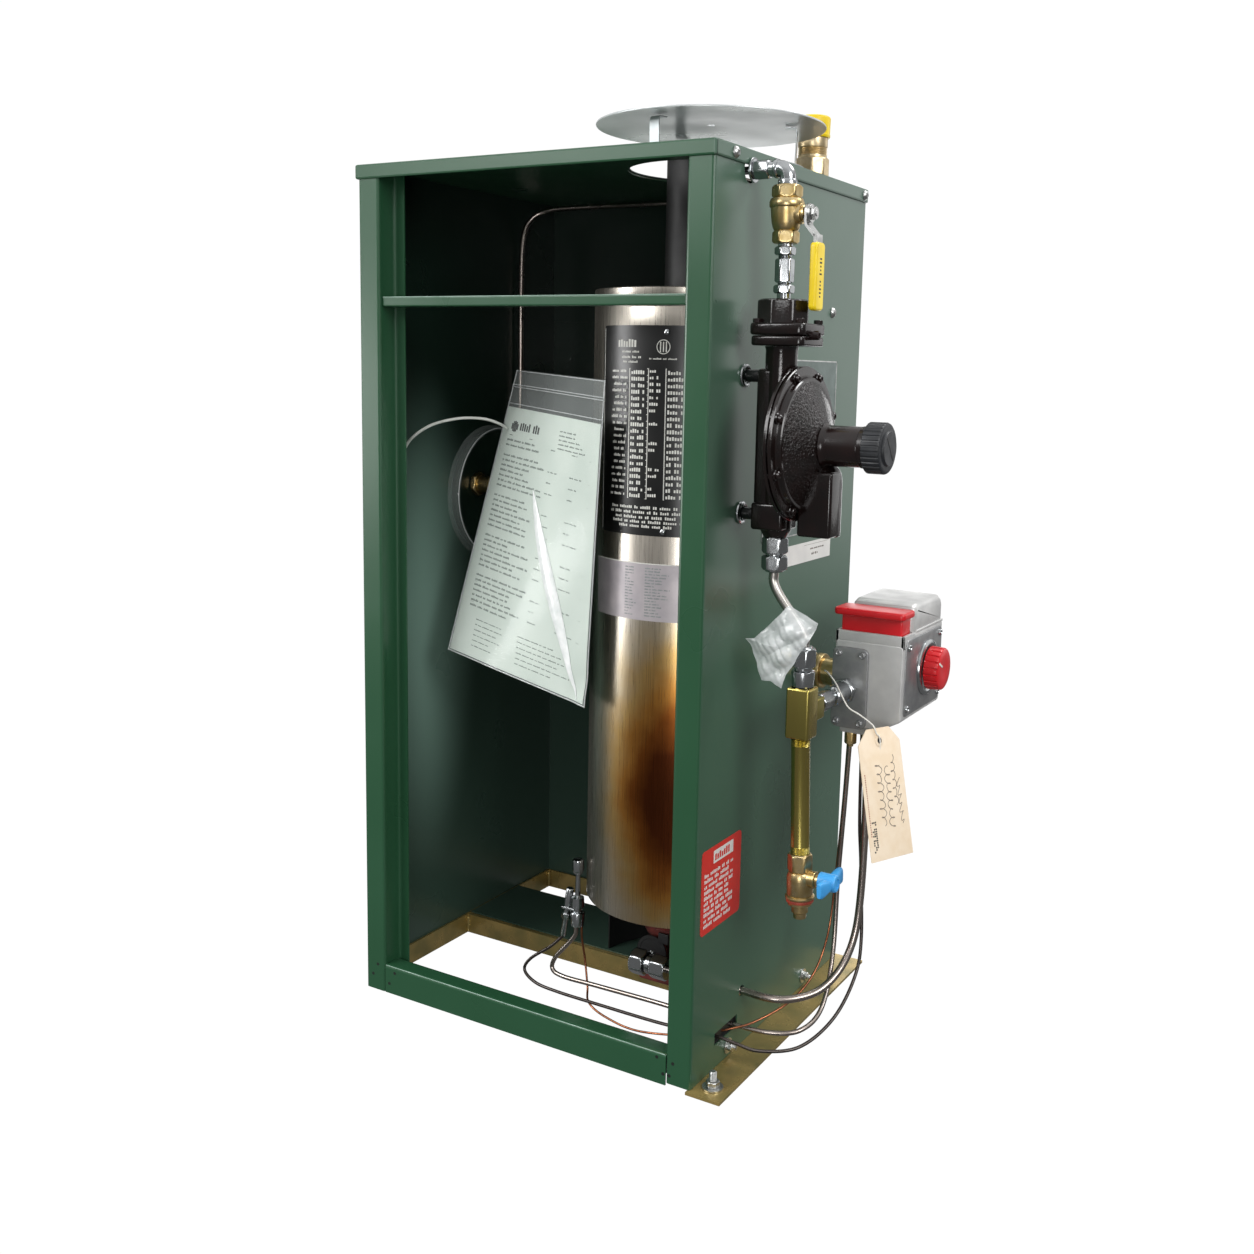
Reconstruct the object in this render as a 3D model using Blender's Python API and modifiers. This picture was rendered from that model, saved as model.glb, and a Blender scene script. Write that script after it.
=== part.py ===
"""Gas-fired tank water heater in an open-fronted steel weather cabinet.

Metres, +Z up, the cabinet's open front towards -Y. The origin is on the floor,
under the middle of the cabinet. Places along Y are counted back from the front
plane, so that they follow the cabinet's depth.
"""

import math

import bmesh
import bpy
from mathutils import Vector

# Overall sizes
CABINET_WIDTH = 0.425
CABINET_DEPTH = 0.360
CABINET_HEIGHT = 0.914
SHEET = 0.0015
BEND_RADIUS = 0.003
GAP = 0.0003

LEFT = -CABINET_WIDTH / 2
RIGHT = CABINET_WIDTH / 2
FRONT = -CABINET_DEPTH / 2
BACK = CABINET_DEPTH / 2

# Sheet metal
JAMB_WIDTH = 0.028
JAMB_DEPTH = 0.025
JAMB_LIP = 0.013
ROOF_OVERHANG = 0.0024
ROOF_FLANGE = 0.015
SILL_HEIGHT = 0.033
SILL_DEPTH = 0.0225
CROSSBAR_TOP = 0.778
CROSSBAR_HEIGHT = 0.010
BACK_SEAM = 0.779
BACK_LAP = 0.012

# Base frame, welded from bar
BAR = 0.003
RAIL_HEIGHT = 0.024
RAIL_LEG = 0.022
FOOT_FLANGE = 0.035
CROSS_RAIL_FROM_FRONT = 0.178
FLOOR_PLATE_DEPTH = 0.100

# Tank, flue and rain cap
TANK_X = 0.101
TANK_Y = FRONT + 0.174
TANK_RADIUS = 0.107
TANK_WALL = 0.002
TANK_BOTTOM = 0.127
TANK_TOP = 0.790
HEAD_INSET = 0.006
FLUE_RADIUS = 0.034
FLUE_WALL = 0.0015
FLUE_TOP = 0.926
SKIRT_WALL = 0.0015
VENT_X = 0.113
VENT_Y = FRONT + 0.174
ROOF_HOLE_RADIUS = 0.085
RAIN_CAP_RADIUS = 0.119
RAIN_CAP_HEIGHT = 0.957
STRAP_WIDTH = 0.012

# Gas train on the right wall
TRAIN_X = 0.2515
TRAIN_Y = FRONT + 0.070
INLET_Z = 0.895
BALL_VALVE_Z = 0.8535
REGULATOR_TOP = 0.776
DIAPHRAGM_Z = 0.642
DIAPHRAGM_RADIUS = 0.073
STANDOFF_HEIGHTS = (0.705, 0.573)
REGULATOR_FOOT = 0.553
LOWER_X = 0.286
OUTLET_Z = 0.385
TEE_SIDE = 0.024
TEE_HEIGHT = 0.050
DRIP_LENGTH = 0.115
LOWER_LEAN = math.radians(2.0)
DRAIN_STEM_BELOW_TEE = 0.166

# Control valve
VALVE_LEFT = 0.272
VALVE_RIGHT = 0.346
VALVE_FRONT = FRONT + 0.182
VALVE_BACK = FRONT + 0.303
VALVE_BOTTOM = 0.346
VALVE_SHOULDER = 0.447
VALVE_TOP = 0.477
SIDE_PLATE = 0.004
SHANK_Y = FRONT + 0.235
SHANK_Z = 0.388
KNOB_Y = FRONT + 0.252
KNOB_Z = 0.404
KNOB_RADIUS = 0.023
KNOB_DEPTH = 0.016
BUTTON_TRAVEL = 0.004

# Openings in the right wall near the floor
TUBE_HOLE = (0.109, 0.0635)
TUBE_SLOT_FROM = 0.050
TUBE_SLOT_TO = 0.100
TUBE_SLOT_Z = 0.0345
TUBE_SLOT_HEIGHT = 0.013

# Card tag
TAG_WIDTH = 0.065
TAG_LENGTH = 0.129
TAG_CENTRE = (0.348, FRONT + 0.142, 0.296)
TAG_TURN = (-0.2606, 0.0615, 1.2509)

# Port on the left wall
PORT_FROM_FRONT = 0.224
PORT_Z = 0.556
PORT_RADIUS = 0.078

PARTS = bpy.data.collections.new("tank_water_heater")
CUTTERS = bpy.data.collections.new("cutters")


def clear_scene():
    for found in list(bpy.data.objects):
        bpy.data.objects.remove(found, do_unlink=True)
    bpy.context.scene.collection.children.link(PARTS)
    bpy.context.scene.collection.children.link(CUTTERS)


def finish(name, colour, roughness, metallic=0.0, alpha=1.0):
    """A material of one colour."""
    material = bpy.data.materials.new(name)
    material.use_nodes = True
    shader = material.node_tree.nodes["Principled BSDF"]
    shader.inputs["Base Color"].default_value = (*colour, 1.0)
    shader.inputs["Roughness"].default_value = roughness
    shader.inputs["Metallic"].default_value = metallic
    shader.inputs["Alpha"].default_value = alpha
    return material


GREEN = finish("green_powder_coat", (0.024, 0.082, 0.045), 0.35)
YELLOW_ZINC = finish("yellow_zinc", (0.45, 0.32, 0.10), 0.35, 0.9)
STAINLESS = finish("stainless_steel", (0.55, 0.53, 0.50), 0.3, 1.0)
GALVANISED = finish("galvanised_sheet", (0.55, 0.57, 0.57), 0.25, 1.0)
BLACK_STEEL = finish("black_steel", (0.012, 0.012, 0.012), 0.6, 0.3)
PLATED = finish("bright_plated_steel", (0.72, 0.72, 0.73), 0.2, 1.0)
BRASS = finish("brass", (0.60, 0.43, 0.18), 0.3, 1.0)
BROWN_CAST = finish("dark_brown_casting", (0.022, 0.014, 0.012), 0.3)
GREY_CAST = finish("grey_die_casting", (0.42, 0.42, 0.42), 0.45, 0.8)
RED_PLASTIC = finish("red_plastic", (0.55, 0.02, 0.03), 0.35)
BLACK_PLASTIC = finish("black_plastic", (0.02, 0.02, 0.022), 0.45)
YELLOW_VINYL = finish("yellow_vinyl", (0.80, 0.58, 0.02), 0.4)
BLUE_PLASTIC = finish("blue_plastic", (0.03, 0.22, 0.55), 0.4)
RED_OXIDE = finish("red_oxide_iron", (0.16, 0.02, 0.015), 0.7)
COPPER = finish("copper", (0.72, 0.32, 0.18), 0.3, 1.0)
CLEAR_FILM = finish("clear_film", (0.8, 0.82, 0.8), 0.15, 0.0, 0.5)
MANILA = finish("manila_card", (0.78, 0.62, 0.42), 0.8)
WHITE_NYLON = finish("white_nylon", (0.75, 0.75, 0.70), 0.4)


def place(obj, material, at=(0, 0, 0), turn=(0, 0, 0), parent=None):
    """Puts an object in the parts collection with its material, place and parent."""
    obj.location = at
    obj.rotation_euler = turn
    obj.parent = parent
    obj.data.materials.append(material)
    PARTS.objects.link(obj)
    return obj


def mesh_object(name, builder):
    """An object whose mesh is filled by builder(bm)."""
    mesh = bpy.data.meshes.new(name)
    bm = bmesh.new()
    builder(bm)
    bmesh.ops.recalc_face_normals(bm, faces=bm.faces)
    bm.to_mesh(mesh)
    bm.free()
    mesh.shade_smooth()
    mesh.set_sharp_from_angle(angle=math.radians(35))
    return bpy.data.objects.new(name, mesh)


def box(name, material, low, high, bevel=0.0, parent=None):
    """A block between two corners, with its edges rounded by bevel."""
    centre = (Vector(low) + Vector(high)) / 2
    size = Vector(high) - Vector(low)

    def build(bm):
        bmesh.ops.create_cube(bm, size=1.0)
        bmesh.ops.scale(bm, vec=size, verts=bm.verts)

    made = place(mesh_object(name, build), material, centre, parent=parent)
    if bevel:
        rounding = made.modifiers.new("edges", "BEVEL")
        rounding.width = bevel
        rounding.segments = 2
        rounding.limit_method = "ANGLE"
    return made


TURNS = {
    "X": (0, math.radians(90), 0),
    "Y": (math.radians(-90), 0, 0),
    "Z": (0, 0, 0),
    "-Z": (math.radians(180), 0, 0),
}


def outline_radius(angle, across, corners):
    """Distance from the middle to the outline: a circle, or a polygon measured across its flats."""
    if not corners:
        return across / 2
    share = 2 * math.pi / corners
    return across / 2 / math.cos((angle + share / 2) % share - share / 2)


def stack(name, material, sections, at, axis="Z", sides=24, parent=None):
    """A closed bar with sections of (distance along the axis, size across, corners) that may differ."""

    def build(bm):
        rings = []
        for along, across, corners in sections:
            ring = []
            for step in range(sides):
                angle = 2 * math.pi * step / sides
                radius = outline_radius(angle, across, corners)
                ring.append(bm.verts.new((radius * math.cos(angle), radius * math.sin(angle), along)))
            rings.append(ring)
        for lower, upper in zip(rings, rings[1:]):
            for step in range(sides):
                after = (step + 1) % sides
                bm.faces.new((lower[step], lower[after], upper[after], upper[step]))
        bm.faces.new(rings[0][::-1])
        bm.faces.new(rings[-1])

    return place(mesh_object(name, build), material, at, TURNS[axis], parent)


def turned(name, material, profile, at, axis="Z", steps=32, parent=None):
    """A turned ring: a closed profile of (radius, along) points screwed round the axis."""

    def build(bm):
        points = [bm.verts.new((radius, 0, along)) for radius, along in profile]
        for index, point in enumerate(points):
            bm.edges.new((point, points[(index + 1) % len(points)]))

    made = place(mesh_object(name, build), material, at, TURNS[axis], parent)
    screw = made.modifiers.new("turn", "SCREW")
    screw.axis = "Z"
    screw.steps = steps
    screw.render_steps = steps
    screw.use_merge_vertices = True
    screw.merge_threshold = 0.0001
    return made


def rounded_path(corners, radius, steps=3):
    """The corners joined by straight runs, each inner corner replaced by an arc."""
    points = [Vector(corners[0])]
    for before, corner, after in zip(corners, corners[1:], corners[2:]):
        corner = Vector(corner)
        back = (Vector(before) - corner).normalized()
        ahead = (Vector(after) - corner).normalized()
        half = back.angle(ahead) / 2
        reach = radius / math.tan(half)
        centre = corner + (back + ahead).normalized() * radius / math.sin(half)
        start = (corner + back * reach - centre).normalized()
        end = (corner + ahead * reach - centre).normalized()
        for step in range(steps + 1):
            points.append(centre + radius * start.slerp(end, step / steps))
    points.append(Vector(corners[-1]))
    return points


def folded_sheet(name, material, corners, low, high, thickness=SHEET, radius=BEND_RADIUS):
    """Sheet folded along upright bends: the plan's corners, raised from low to high. Its thickness grows
    to the left of the path."""
    path = rounded_path([(x, y, 0) for x, y in corners], radius)

    def build(bm):
        bottom = [bm.verts.new((point.x, point.y, low)) for point in path]
        top = [bm.verts.new((point.x, point.y, high)) for point in path]
        for index in range(len(path) - 1):
            bm.faces.new((bottom[index], bottom[index + 1], top[index + 1], top[index]))

    made = place(mesh_object(name, build), material)
    wall = made.modifiers.new("wall", "SOLIDIFY")
    wall.thickness = thickness
    wall.offset = -1
    wall.use_even_offset = True
    return made


def boolean(target, operation, others):
    """Cuts or joins the others with the target and keeps them as hidden helpers."""
    for other in others:
        other.hide_render = True
        other.display_type = "WIRE"
        if other.name in PARTS.objects:
            PARTS.objects.unlink(other)
            CUTTERS.objects.link(other)
        modifier = target.modifiers.new(operation.lower(), "BOOLEAN")
        modifier.operation = operation
        modifier.object = other
    return target


def cut(target, *cutters):
    return boolean(target, "DIFFERENCE", cutters)


def join(target, *others):
    return boolean(target, "UNION", others)


def drill(name, at, diameter, length, axis="X", sides=24):
    """A round cutter centred on a point."""
    ends = [(-length / 2, diameter, 0), (length / 2, diameter, 0)]
    return stack(name, BLACK_STEEL, ends, at, axis, sides)


def smooth_route(points, spacing):
    """A Catmull-Rom curve through the points, with a point about every spacing."""
    ends = [Vector(point) for point in points]
    ends = [2 * ends[0] - ends[1]] + ends + [2 * ends[-1] - ends[-2]]
    route = []
    for a, b, c, d in zip(ends, ends[1:], ends[2:], ends[3:]):
        count = max(1, round((c - b).length / spacing))
        for step in range(count):
            t = step / count
            route.append(
                0.5
                * (
                    2 * b
                    + (c - a) * t
                    + (2 * a - 5 * b + 4 * c - d) * t**2
                    + (3 * b - a - 3 * c + d) * t**3
                )
            )
    route.append(ends[-2])
    return route


def tube(name, material, points, diameter, spacing, resolution=2):
    """A round tube along a smooth curve through the points."""
    route = smooth_route(points, spacing)
    curve = bpy.data.curves.new(name, "CURVE")
    curve.dimensions = "3D"
    curve.bevel_depth = diameter / 2
    curve.bevel_resolution = resolution
    curve.use_fill_caps = True
    spline = curve.splines.new("POLY")
    spline.points.add(len(route) - 1)
    for point, place_on in zip(spline.points, route):
        point.co = (*place_on, 1)
    return place(bpy.data.objects.new(name, curve), material)


def hung_sheet(name, material, corners, bulge, thickness, rows=6):
    """A thin slab over four corners, clockwise from the top left, that bulges forward."""
    top_left, top_right, bottom_right, bottom_left = [Vector(corner) for corner in corners]
    normal = (top_right - top_left).cross(bottom_left - top_left).normalized()

    def build(bm):
        grid = []
        for row in range(rows + 1):
            down = row / rows
            line = []
            for column in range(rows + 1):
                across = column / rows
                point = top_left.lerp(top_right, across).lerp(bottom_left.lerp(bottom_right, across), down)
                swell = bulge * math.sin(math.pi * across) * math.sin(math.pi * down)
                line.append(bm.verts.new(point - normal * swell))
            grid.append(line)
        for upper, lower in zip(grid, grid[1:]):
            for column in range(rows):
                bm.faces.new((upper[column], upper[column + 1], lower[column + 1], lower[column]))

    made = place(mesh_object(name, build), material)
    wall = made.modifiers.new("wall", "SOLIDIFY")
    wall.thickness = thickness
    wall.offset = 0
    return made


def make_base():
    """Welded bar frame, the floor plate on it and one anchor stud."""
    inner_left = LEFT + SHEET + GAP
    inner_right = RIGHT - SHEET - GAP
    rail_front = FRONT + SILL_DEPTH + GAP
    rail_back = BACK - SHEET - GAP
    cross = FRONT + CROSS_RAIL_FROM_FRONT
    frame = box(
        "base_frame", YELLOW_ZINC, (inner_left, rail_front, 0), (inner_left + BAR, rail_back, RAIL_HEIGHT)
    )
    right_leg = box(
        "base_right_leg",
        YELLOW_ZINC,
        (inner_right - BAR, rail_front, 0),
        (inner_right, rail_back, RAIL_HEIGHT),
    )
    foot = box(
        "base_foot",
        YELLOW_ZINC,
        (inner_right - BAR / 2, FRONT - 0.004, 0),
        (RIGHT + FOOT_FLANGE, BACK + 0.009, BAR),
    )
    rear = box(
        "base_rear_bar",
        YELLOW_ZINC,
        (inner_left + BAR / 2, rail_back - BAR, 0),
        (inner_right - BAR / 2, rail_back - GAP, RAIL_HEIGHT - GAP),
    )
    front_leg = box(
        "base_cross_leg",
        YELLOW_ZINC,
        (inner_left + BAR / 2, cross, 0.0),
        (inner_right - BAR / 2, cross + BAR, RAIL_HEIGHT - GAP),
    )
    top_leg = box(
        "base_cross_top",
        YELLOW_ZINC,
        (inner_left + BAR / 2, cross + BAR / 2, RAIL_HEIGHT - GAP - BAR),
        (inner_right - BAR / 2, cross + RAIL_LEG, RAIL_HEIGHT - 2 * GAP),
    )
    join(frame, right_leg, foot, rear, front_leg, top_leg)
    plate_front = cross + 0.006
    box(
        "floor_plate",
        GREEN,
        (inner_left + BAR + GAP, plate_front, RAIL_HEIGHT),
        (inner_right - BAR - GAP, plate_front + FLOOR_PLATE_DEPTH, RAIL_HEIGHT + SHEET),
    )
    stud = [
        (BAR + GAP, 0.022, 0),
        (BAR + 0.0020, 0.022, 0),
        (BAR + 0.0021, 0.013, 6),
        (BAR + 0.0085, 0.013, 6),
        (BAR + 0.0086, 0.008, 0),
        (BAR + 0.0170, 0.008, 0),
        (BAR + 0.0180, 0.006, 0),
    ]
    stack("anchor_stud", PLATED, stud, (RIGHT + 0.016, FRONT + 0.018, 0))


def jamb(side):
    """Plan of one side panel from the back: the wall, the front flange, the return and the door-stop lip."""
    edge = LEFT if side < 0 else RIGHT
    return [
        (edge, BACK),
        (edge, FRONT),
        (edge - side * JAMB_WIDTH, FRONT),
        (edge - side * JAMB_WIDTH, FRONT + JAMB_DEPTH),
        (edge - side * (JAMB_WIDTH + JAMB_LIP), FRONT + JAMB_DEPTH),
    ]


def make_cabinet():
    """Side panels with their jambs, back panels, sill, crossbar and roof."""
    wall_top = CABINET_HEIGHT - SHEET - GAP
    folded_sheet("side_panel_left", GREEN, jamb(-1), GAP, wall_top)
    right = folded_sheet("side_panel_right", GREEN, jamb(1)[::-1], BAR + GAP, wall_top)
    slot_y = FRONT + (TUBE_SLOT_FROM + TUBE_SLOT_TO) / 2
    half_length = (TUBE_SLOT_TO - TUBE_SLOT_FROM) / 2
    hole_y, hole_z = TUBE_HOLE
    cut(
        right,
        drill("cut_inlet", (RIGHT, TRAIN_Y, INLET_Z), 0.0236, 0.02),
        drill("cut_shank", (RIGHT, SHANK_Y, SHANK_Z), 0.0310, 0.02),
        drill("cut_tube_hole", (RIGHT, FRONT + hole_y, hole_z), 0.0120, 0.02),
        box(
            "cut_slot",
            BLACK_STEEL,
            (RIGHT - 0.01, slot_y - half_length, TUBE_SLOT_Z - TUBE_SLOT_HEIGHT / 2),
            (RIGHT + 0.01, slot_y + half_length, TUBE_SLOT_Z + TUBE_SLOT_HEIGHT / 2),
        ),
    )
    back_left = LEFT + SHEET + GAP
    back_right = RIGHT - SHEET - GAP
    box("back_panel_lower", GREEN, (back_left, BACK - SHEET, BAR + GAP), (back_right, BACK, BACK_SEAM))
    box(
        "back_panel_upper",
        GREEN,
        (back_left, BACK - 2 * SHEET - GAP, BACK_SEAM - BACK_LAP),
        (back_right, BACK - SHEET - GAP, wall_top),
    )
    sill_left = LEFT + JAMB_WIDTH + GAP
    sill_right = RIGHT - JAMB_WIDTH - GAP
    make_channel("front_sill", sill_left, sill_right, FRONT, SILL_DEPTH, GAP, SILL_HEIGHT)
    box(
        "crossbar",
        GREEN,
        (sill_left, FRONT + 0.004, CROSSBAR_TOP - CROSSBAR_HEIGHT),
        (sill_right, FRONT + JAMB_DEPTH - SHEET - GAP, CROSSBAR_TOP),
        0.0015,
    )
    make_roof()


def make_channel(name, left, right, front, depth, low, high):
    """A channel on its back: an upright front, a flat top and an upright rear flange, open below."""
    corners = [(0, front, low), (0, front, high), (0, front + depth, high), (0, front + depth, low)]
    path = rounded_path(corners, BEND_RADIUS)

    def build(bm):
        near = [bm.verts.new((left, point.y, point.z)) for point in path]
        far = [bm.verts.new((right, point.y, point.z)) for point in path]
        for index in range(len(path) - 1):
            bm.faces.new((near[index], near[index + 1], far[index + 1], far[index]))

    made = place(mesh_object(name, build), GREEN)
    wall = made.modifiers.new("wall", "SOLIDIFY")
    wall.thickness = SHEET
    wall.offset = -1
    wall.use_even_offset = True
    return made


def make_roof():
    """Pan-shaped roof with a turned-down flange and the vent hole."""
    left = LEFT - ROOF_OVERHANG
    right = RIGHT + ROOF_OVERHANG
    front = FRONT - ROOF_OVERHANG
    back = BACK + ROOF_OVERHANG
    roof = box(
        "roof_panel",
        GREEN,
        (left, front, CABINET_HEIGHT - ROOF_FLANGE),
        (right, back, CABINET_HEIGHT),
        0.002,
    )
    inside = box(
        "cut_roof_inside",
        BLACK_STEEL,
        (left + SHEET, front + SHEET, CABINET_HEIGHT - 2 * ROOF_FLANGE),
        (right - SHEET, back - SHEET, CABINET_HEIGHT - SHEET),
    )
    hole = drill("cut_vent", (VENT_X, VENT_Y, CABINET_HEIGHT), 2 * ROOF_HOLE_RADIUS, 0.03, "Z", 48)
    cut(roof, inside, hole)


def make_rain_cap():
    """Flat cap on three straps that stand round the roof hole."""
    cap = [
        (RAIN_CAP_RADIUS, 0.0008),
        (RAIN_CAP_RADIUS, -0.0008),
        (0.006, 0.0032),
        (0.006, 0.0048),
    ]
    turned("rain_cap", GALVANISED, cap, (VENT_X, VENT_Y, RAIN_CAP_HEIGHT), steps=48)
    strap_radius = ROOF_HOLE_RADIUS + 0.004
    foot = CABINET_HEIGHT + GAP
    head = RAIN_CAP_HEIGHT
    ring = [
        (strap_radius + 0.010, foot + 0.0012),
        (strap_radius + 0.010, foot),
        (strap_radius - 0.003, foot),
        (strap_radius - 0.003, foot + 0.0012),
    ]
    stand = turned("rain_cap_stand", GALVANISED, ring, (VENT_X, VENT_Y, 0), steps=48)
    straps = []
    for index, degrees in enumerate((140, 260, 20)):
        angle = math.radians(degrees)
        strap = box(
            f"cap_strap_{index}",
            GALVANISED,
            (-0.0009, -STRAP_WIDTH / 2, foot + 0.0006),
            (0.0009, STRAP_WIDTH / 2, head - 0.0002),
        )
        offset = (VENT_X + strap_radius * math.cos(angle), VENT_Y + strap_radius * math.sin(angle), 0)
        strap.location += Vector(offset)
        strap.rotation_euler = (0, 0, angle)
        straps.append(strap)
    join(stand, *straps)


def make_relief_valve():
    """Brass relief valve and its yellow cap on the roof, behind the rain cap."""
    at = (0.172, FRONT + 0.300, CABINET_HEIGHT + GAP)
    body = [
        (0.000, 0.044, 0),
        (0.003, 0.042, 0),
        (0.0035, 0.036, 0),
        (0.0060, 0.034, 0),
        (0.0065, 0.0355, 8),
        (0.0280, 0.0355, 8),
        (0.0285, 0.033, 0),
        (0.048, 0.033, 0),
    ]
    stack("relief_valve_body", BRASS, body, at, sides=24)
    cap = [(0.0483, 0.0370, 0), (0.0690, 0.0380, 0), (0.0715, 0.0340, 0)]
    stack("relief_valve_cap", YELLOW_VINYL, cap, at, sides=24)


def make_tank():
    """Stainless shell, its two heads, the flue through them and the skirt under the back half."""
    inner = TANK_RADIUS - TANK_WALL
    shell = [
        (TANK_RADIUS, TANK_TOP),
        (TANK_RADIUS, TANK_BOTTOM),
        (inner, TANK_BOTTOM),
        (inner, TANK_TOP),
    ]
    turned("tank_shell", STAINLESS, shell, (TANK_X, TANK_Y, 0), steps=48)
    levels = {"tank_head_bottom": TANK_BOTTOM + HEAD_INSET, "tank_head_top": TANK_TOP - HEAD_INSET}
    for name, level in levels.items():
        head = [
            (inner - GAP, level + 0.0015),
            (inner - GAP, level - 0.0015),
            (FLUE_RADIUS + GAP, level - 0.0015),
            (FLUE_RADIUS + GAP, level + 0.0015),
        ]
        turned(name, STAINLESS, head, (TANK_X, TANK_Y, 0), steps=48)
    flue = [
        (FLUE_RADIUS, FLUE_TOP),
        (FLUE_RADIUS, TANK_BOTTOM + 0.004),
        (FLUE_RADIUS - FLUE_WALL, TANK_BOTTOM + 0.004),
        (FLUE_RADIUS - FLUE_WALL, FLUE_TOP),
    ]
    turned("flue_pipe", BLACK_STEEL, flue, (TANK_X, TANK_Y, 0), steps=32)
    skirt_top = TANK_BOTTOM - GAP
    skirt_foot = RAIL_HEIGHT + SHEET + GAP
    skirt = [
        (TANK_RADIUS - 0.001, skirt_top),
        (TANK_RADIUS - 0.001, skirt_foot),
        (TANK_RADIUS - 0.001 - SKIRT_WALL, skirt_foot),
        (TANK_RADIUS - 0.001 - SKIRT_WALL, skirt_top),
    ]
    made = turned("tank_skirt", BLACK_STEEL, skirt, (TANK_X, TANK_Y, 0), steps=48)
    opening = box(
        "cut_skirt",
        BLACK_STEEL,
        (TANK_X - TANK_RADIUS - 0.01, TANK_Y - TANK_RADIUS - 0.01, 0),
        (TANK_X + TANK_RADIUS + 0.01, FRONT + CROSS_RAIL_FROM_FRONT + 0.010, TANK_BOTTOM + 0.01),
    )
    cut(made, opening)


def make_burner():
    """Cast-iron burner with its venturi mouth to the front, the gas orifice and the pilot beside it."""
    mouth_x = 0.088
    mouth_z = 0.066
    mouth_y = FRONT + 0.134
    throat = [
        (0.000, 0.036, 0),
        (0.003, 0.036, 0),
        (0.012, 0.026, 0),
        (0.030, 0.022, 0),
        (0.052, 0.024, 0),
    ]
    burner = stack("burner", RED_OXIDE, throat, (mouth_x, mouth_y, mouth_z), "Y")
    dish = stack(
        "burner_dish",
        RED_OXIDE,
        [(0.000, 0.050, 0), (0.006, 0.090, 0), (0.018, 0.096, 0), (0.022, 0.084, 0)],
        (TANK_X, TANK_Y + 0.012, mouth_z + 0.006),
        "Z",
        32,
    )
    leg = box(
        "burner_leg",
        RED_OXIDE,
        (TANK_X - 0.012, FRONT + 0.206, RAIL_HEIGHT + SHEET + GAP),
        (TANK_X + 0.012, FRONT + 0.214, mouth_z + 0.012),
    )
    shoe = box(
        "burner_shoe",
        RED_OXIDE,
        (mouth_x - 0.020, mouth_y + 0.004, 0.0275),
        (mouth_x + 0.024, mouth_y + 0.034, mouth_z - 0.009),
        0.003,
    )
    join(burner, dish, leg, shoe)
    hole_y, hole_z = TUBE_HOLE
    elbow = stack(
        "orifice_elbow",
        PLATED,
        [
            (0.000, 0.0150, 6),
            (0.019, 0.0150, 6),
            (0.0195, 0.011, 0),
            (0.0245, 0.011, 0),
            (0.025, 0.0165, 6),
            (0.044, 0.0165, 6),
        ],
        (mouth_x - 0.009, FRONT + hole_y, hole_z),
        "X",
    )
    spud = stack(
        "orifice_spud",
        PLATED,
        [(0.000, 0.010, 6), (0.017, 0.010, 6), (0.0175, 0.006, 0), (0.0235, 0.006, 0)],
        (mouth_x, FRONT + hole_y, hole_z + 0.0005),
        "Y",
    )
    join(elbow, spud)
    pilot_x = 0.010
    pilot_y = FRONT + 0.100
    pilot = stack(
        "pilot_burner",
        PLATED,
        [
            (0.090, 0.0145, 0),
            (0.106, 0.0160, 0),
            (0.1065, 0.0100, 0),
            (0.112, 0.0100, 0),
            (0.1125, 0.0150, 0),
            (0.124, 0.0140, 0),
            (0.126, 0.0062, 0),
            (0.150, 0.0050, 0),
            (0.152, 0.0095, 0),
            (0.156, 0.0130, 0),
            (0.166, 0.0130, 0),
            (0.168, 0.0110, 0),
        ],
        (pilot_x, pilot_y, 0),
    )
    clip = box(
        "pilot_clip",
        PLATED,
        (pilot_x - 0.019, pilot_y - 0.0045, 0.1075),
        (pilot_x - 0.001, pilot_y + 0.0045, 0.1100),
    )
    sensor = stack(
        "pilot_sensor",
        PLATED,
        [
            (-0.034, 0.0060, 0),
            (-0.013, 0.0060, 0),
            (-0.012, 0.0095, 6),
            (-0.005, 0.0095, 6),
            (-0.004, 0.0062, 0),
            (0.001, 0.0062, 0),
            (0.002, 0.0088, 0),
            (0.025, 0.0088, 0),
        ],
        (pilot_x - 0.014, pilot_y, 0.107),
    )
    sensor.rotation_euler = (0, math.radians(9), 0)
    join(pilot, clip, sensor)


def make_wall_port():
    """Round port on the left wall: backing plate, clear rim and the pipe nipple through it."""
    wall = LEFT + SHEET + GAP
    at = (wall, FRONT + PORT_FROM_FRONT, PORT_Z)
    plate = [(0.0000, 2 * PORT_RADIUS - 0.008, 0), (0.0012, 2 * PORT_RADIUS - 0.008, 0)]
    stack("wall_port_plate", BLACK_STEEL, plate, at, "X", 48)
    rim = [
        (PORT_RADIUS - 0.0060, 0.0150),
        (PORT_RADIUS + 0.0010, 0.0090),
        (PORT_RADIUS + 0.0030, 0.0000),
        (PORT_RADIUS - 0.0037, 0.0000),
        (PORT_RADIUS - 0.0040, 0.0080),
        (PORT_RADIUS - 0.0070, 0.0130),
    ]
    turned("wall_port_rim", CLEAR_FILM, rim, at, "X", 48)
    nipple = [
        (0.0000, 0.0260, 6),
        (0.0070, 0.0260, 6),
        (0.0072, 0.0200, 0),
        (0.0240, 0.0200, 0),
        (0.0242, 0.0250, 6),
        (0.0340, 0.0250, 6),
    ]
    stack("port_nipple", BRASS, nipple, (wall + 0.0012 + GAP, FRONT + 0.196, 0.567), "X")


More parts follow.
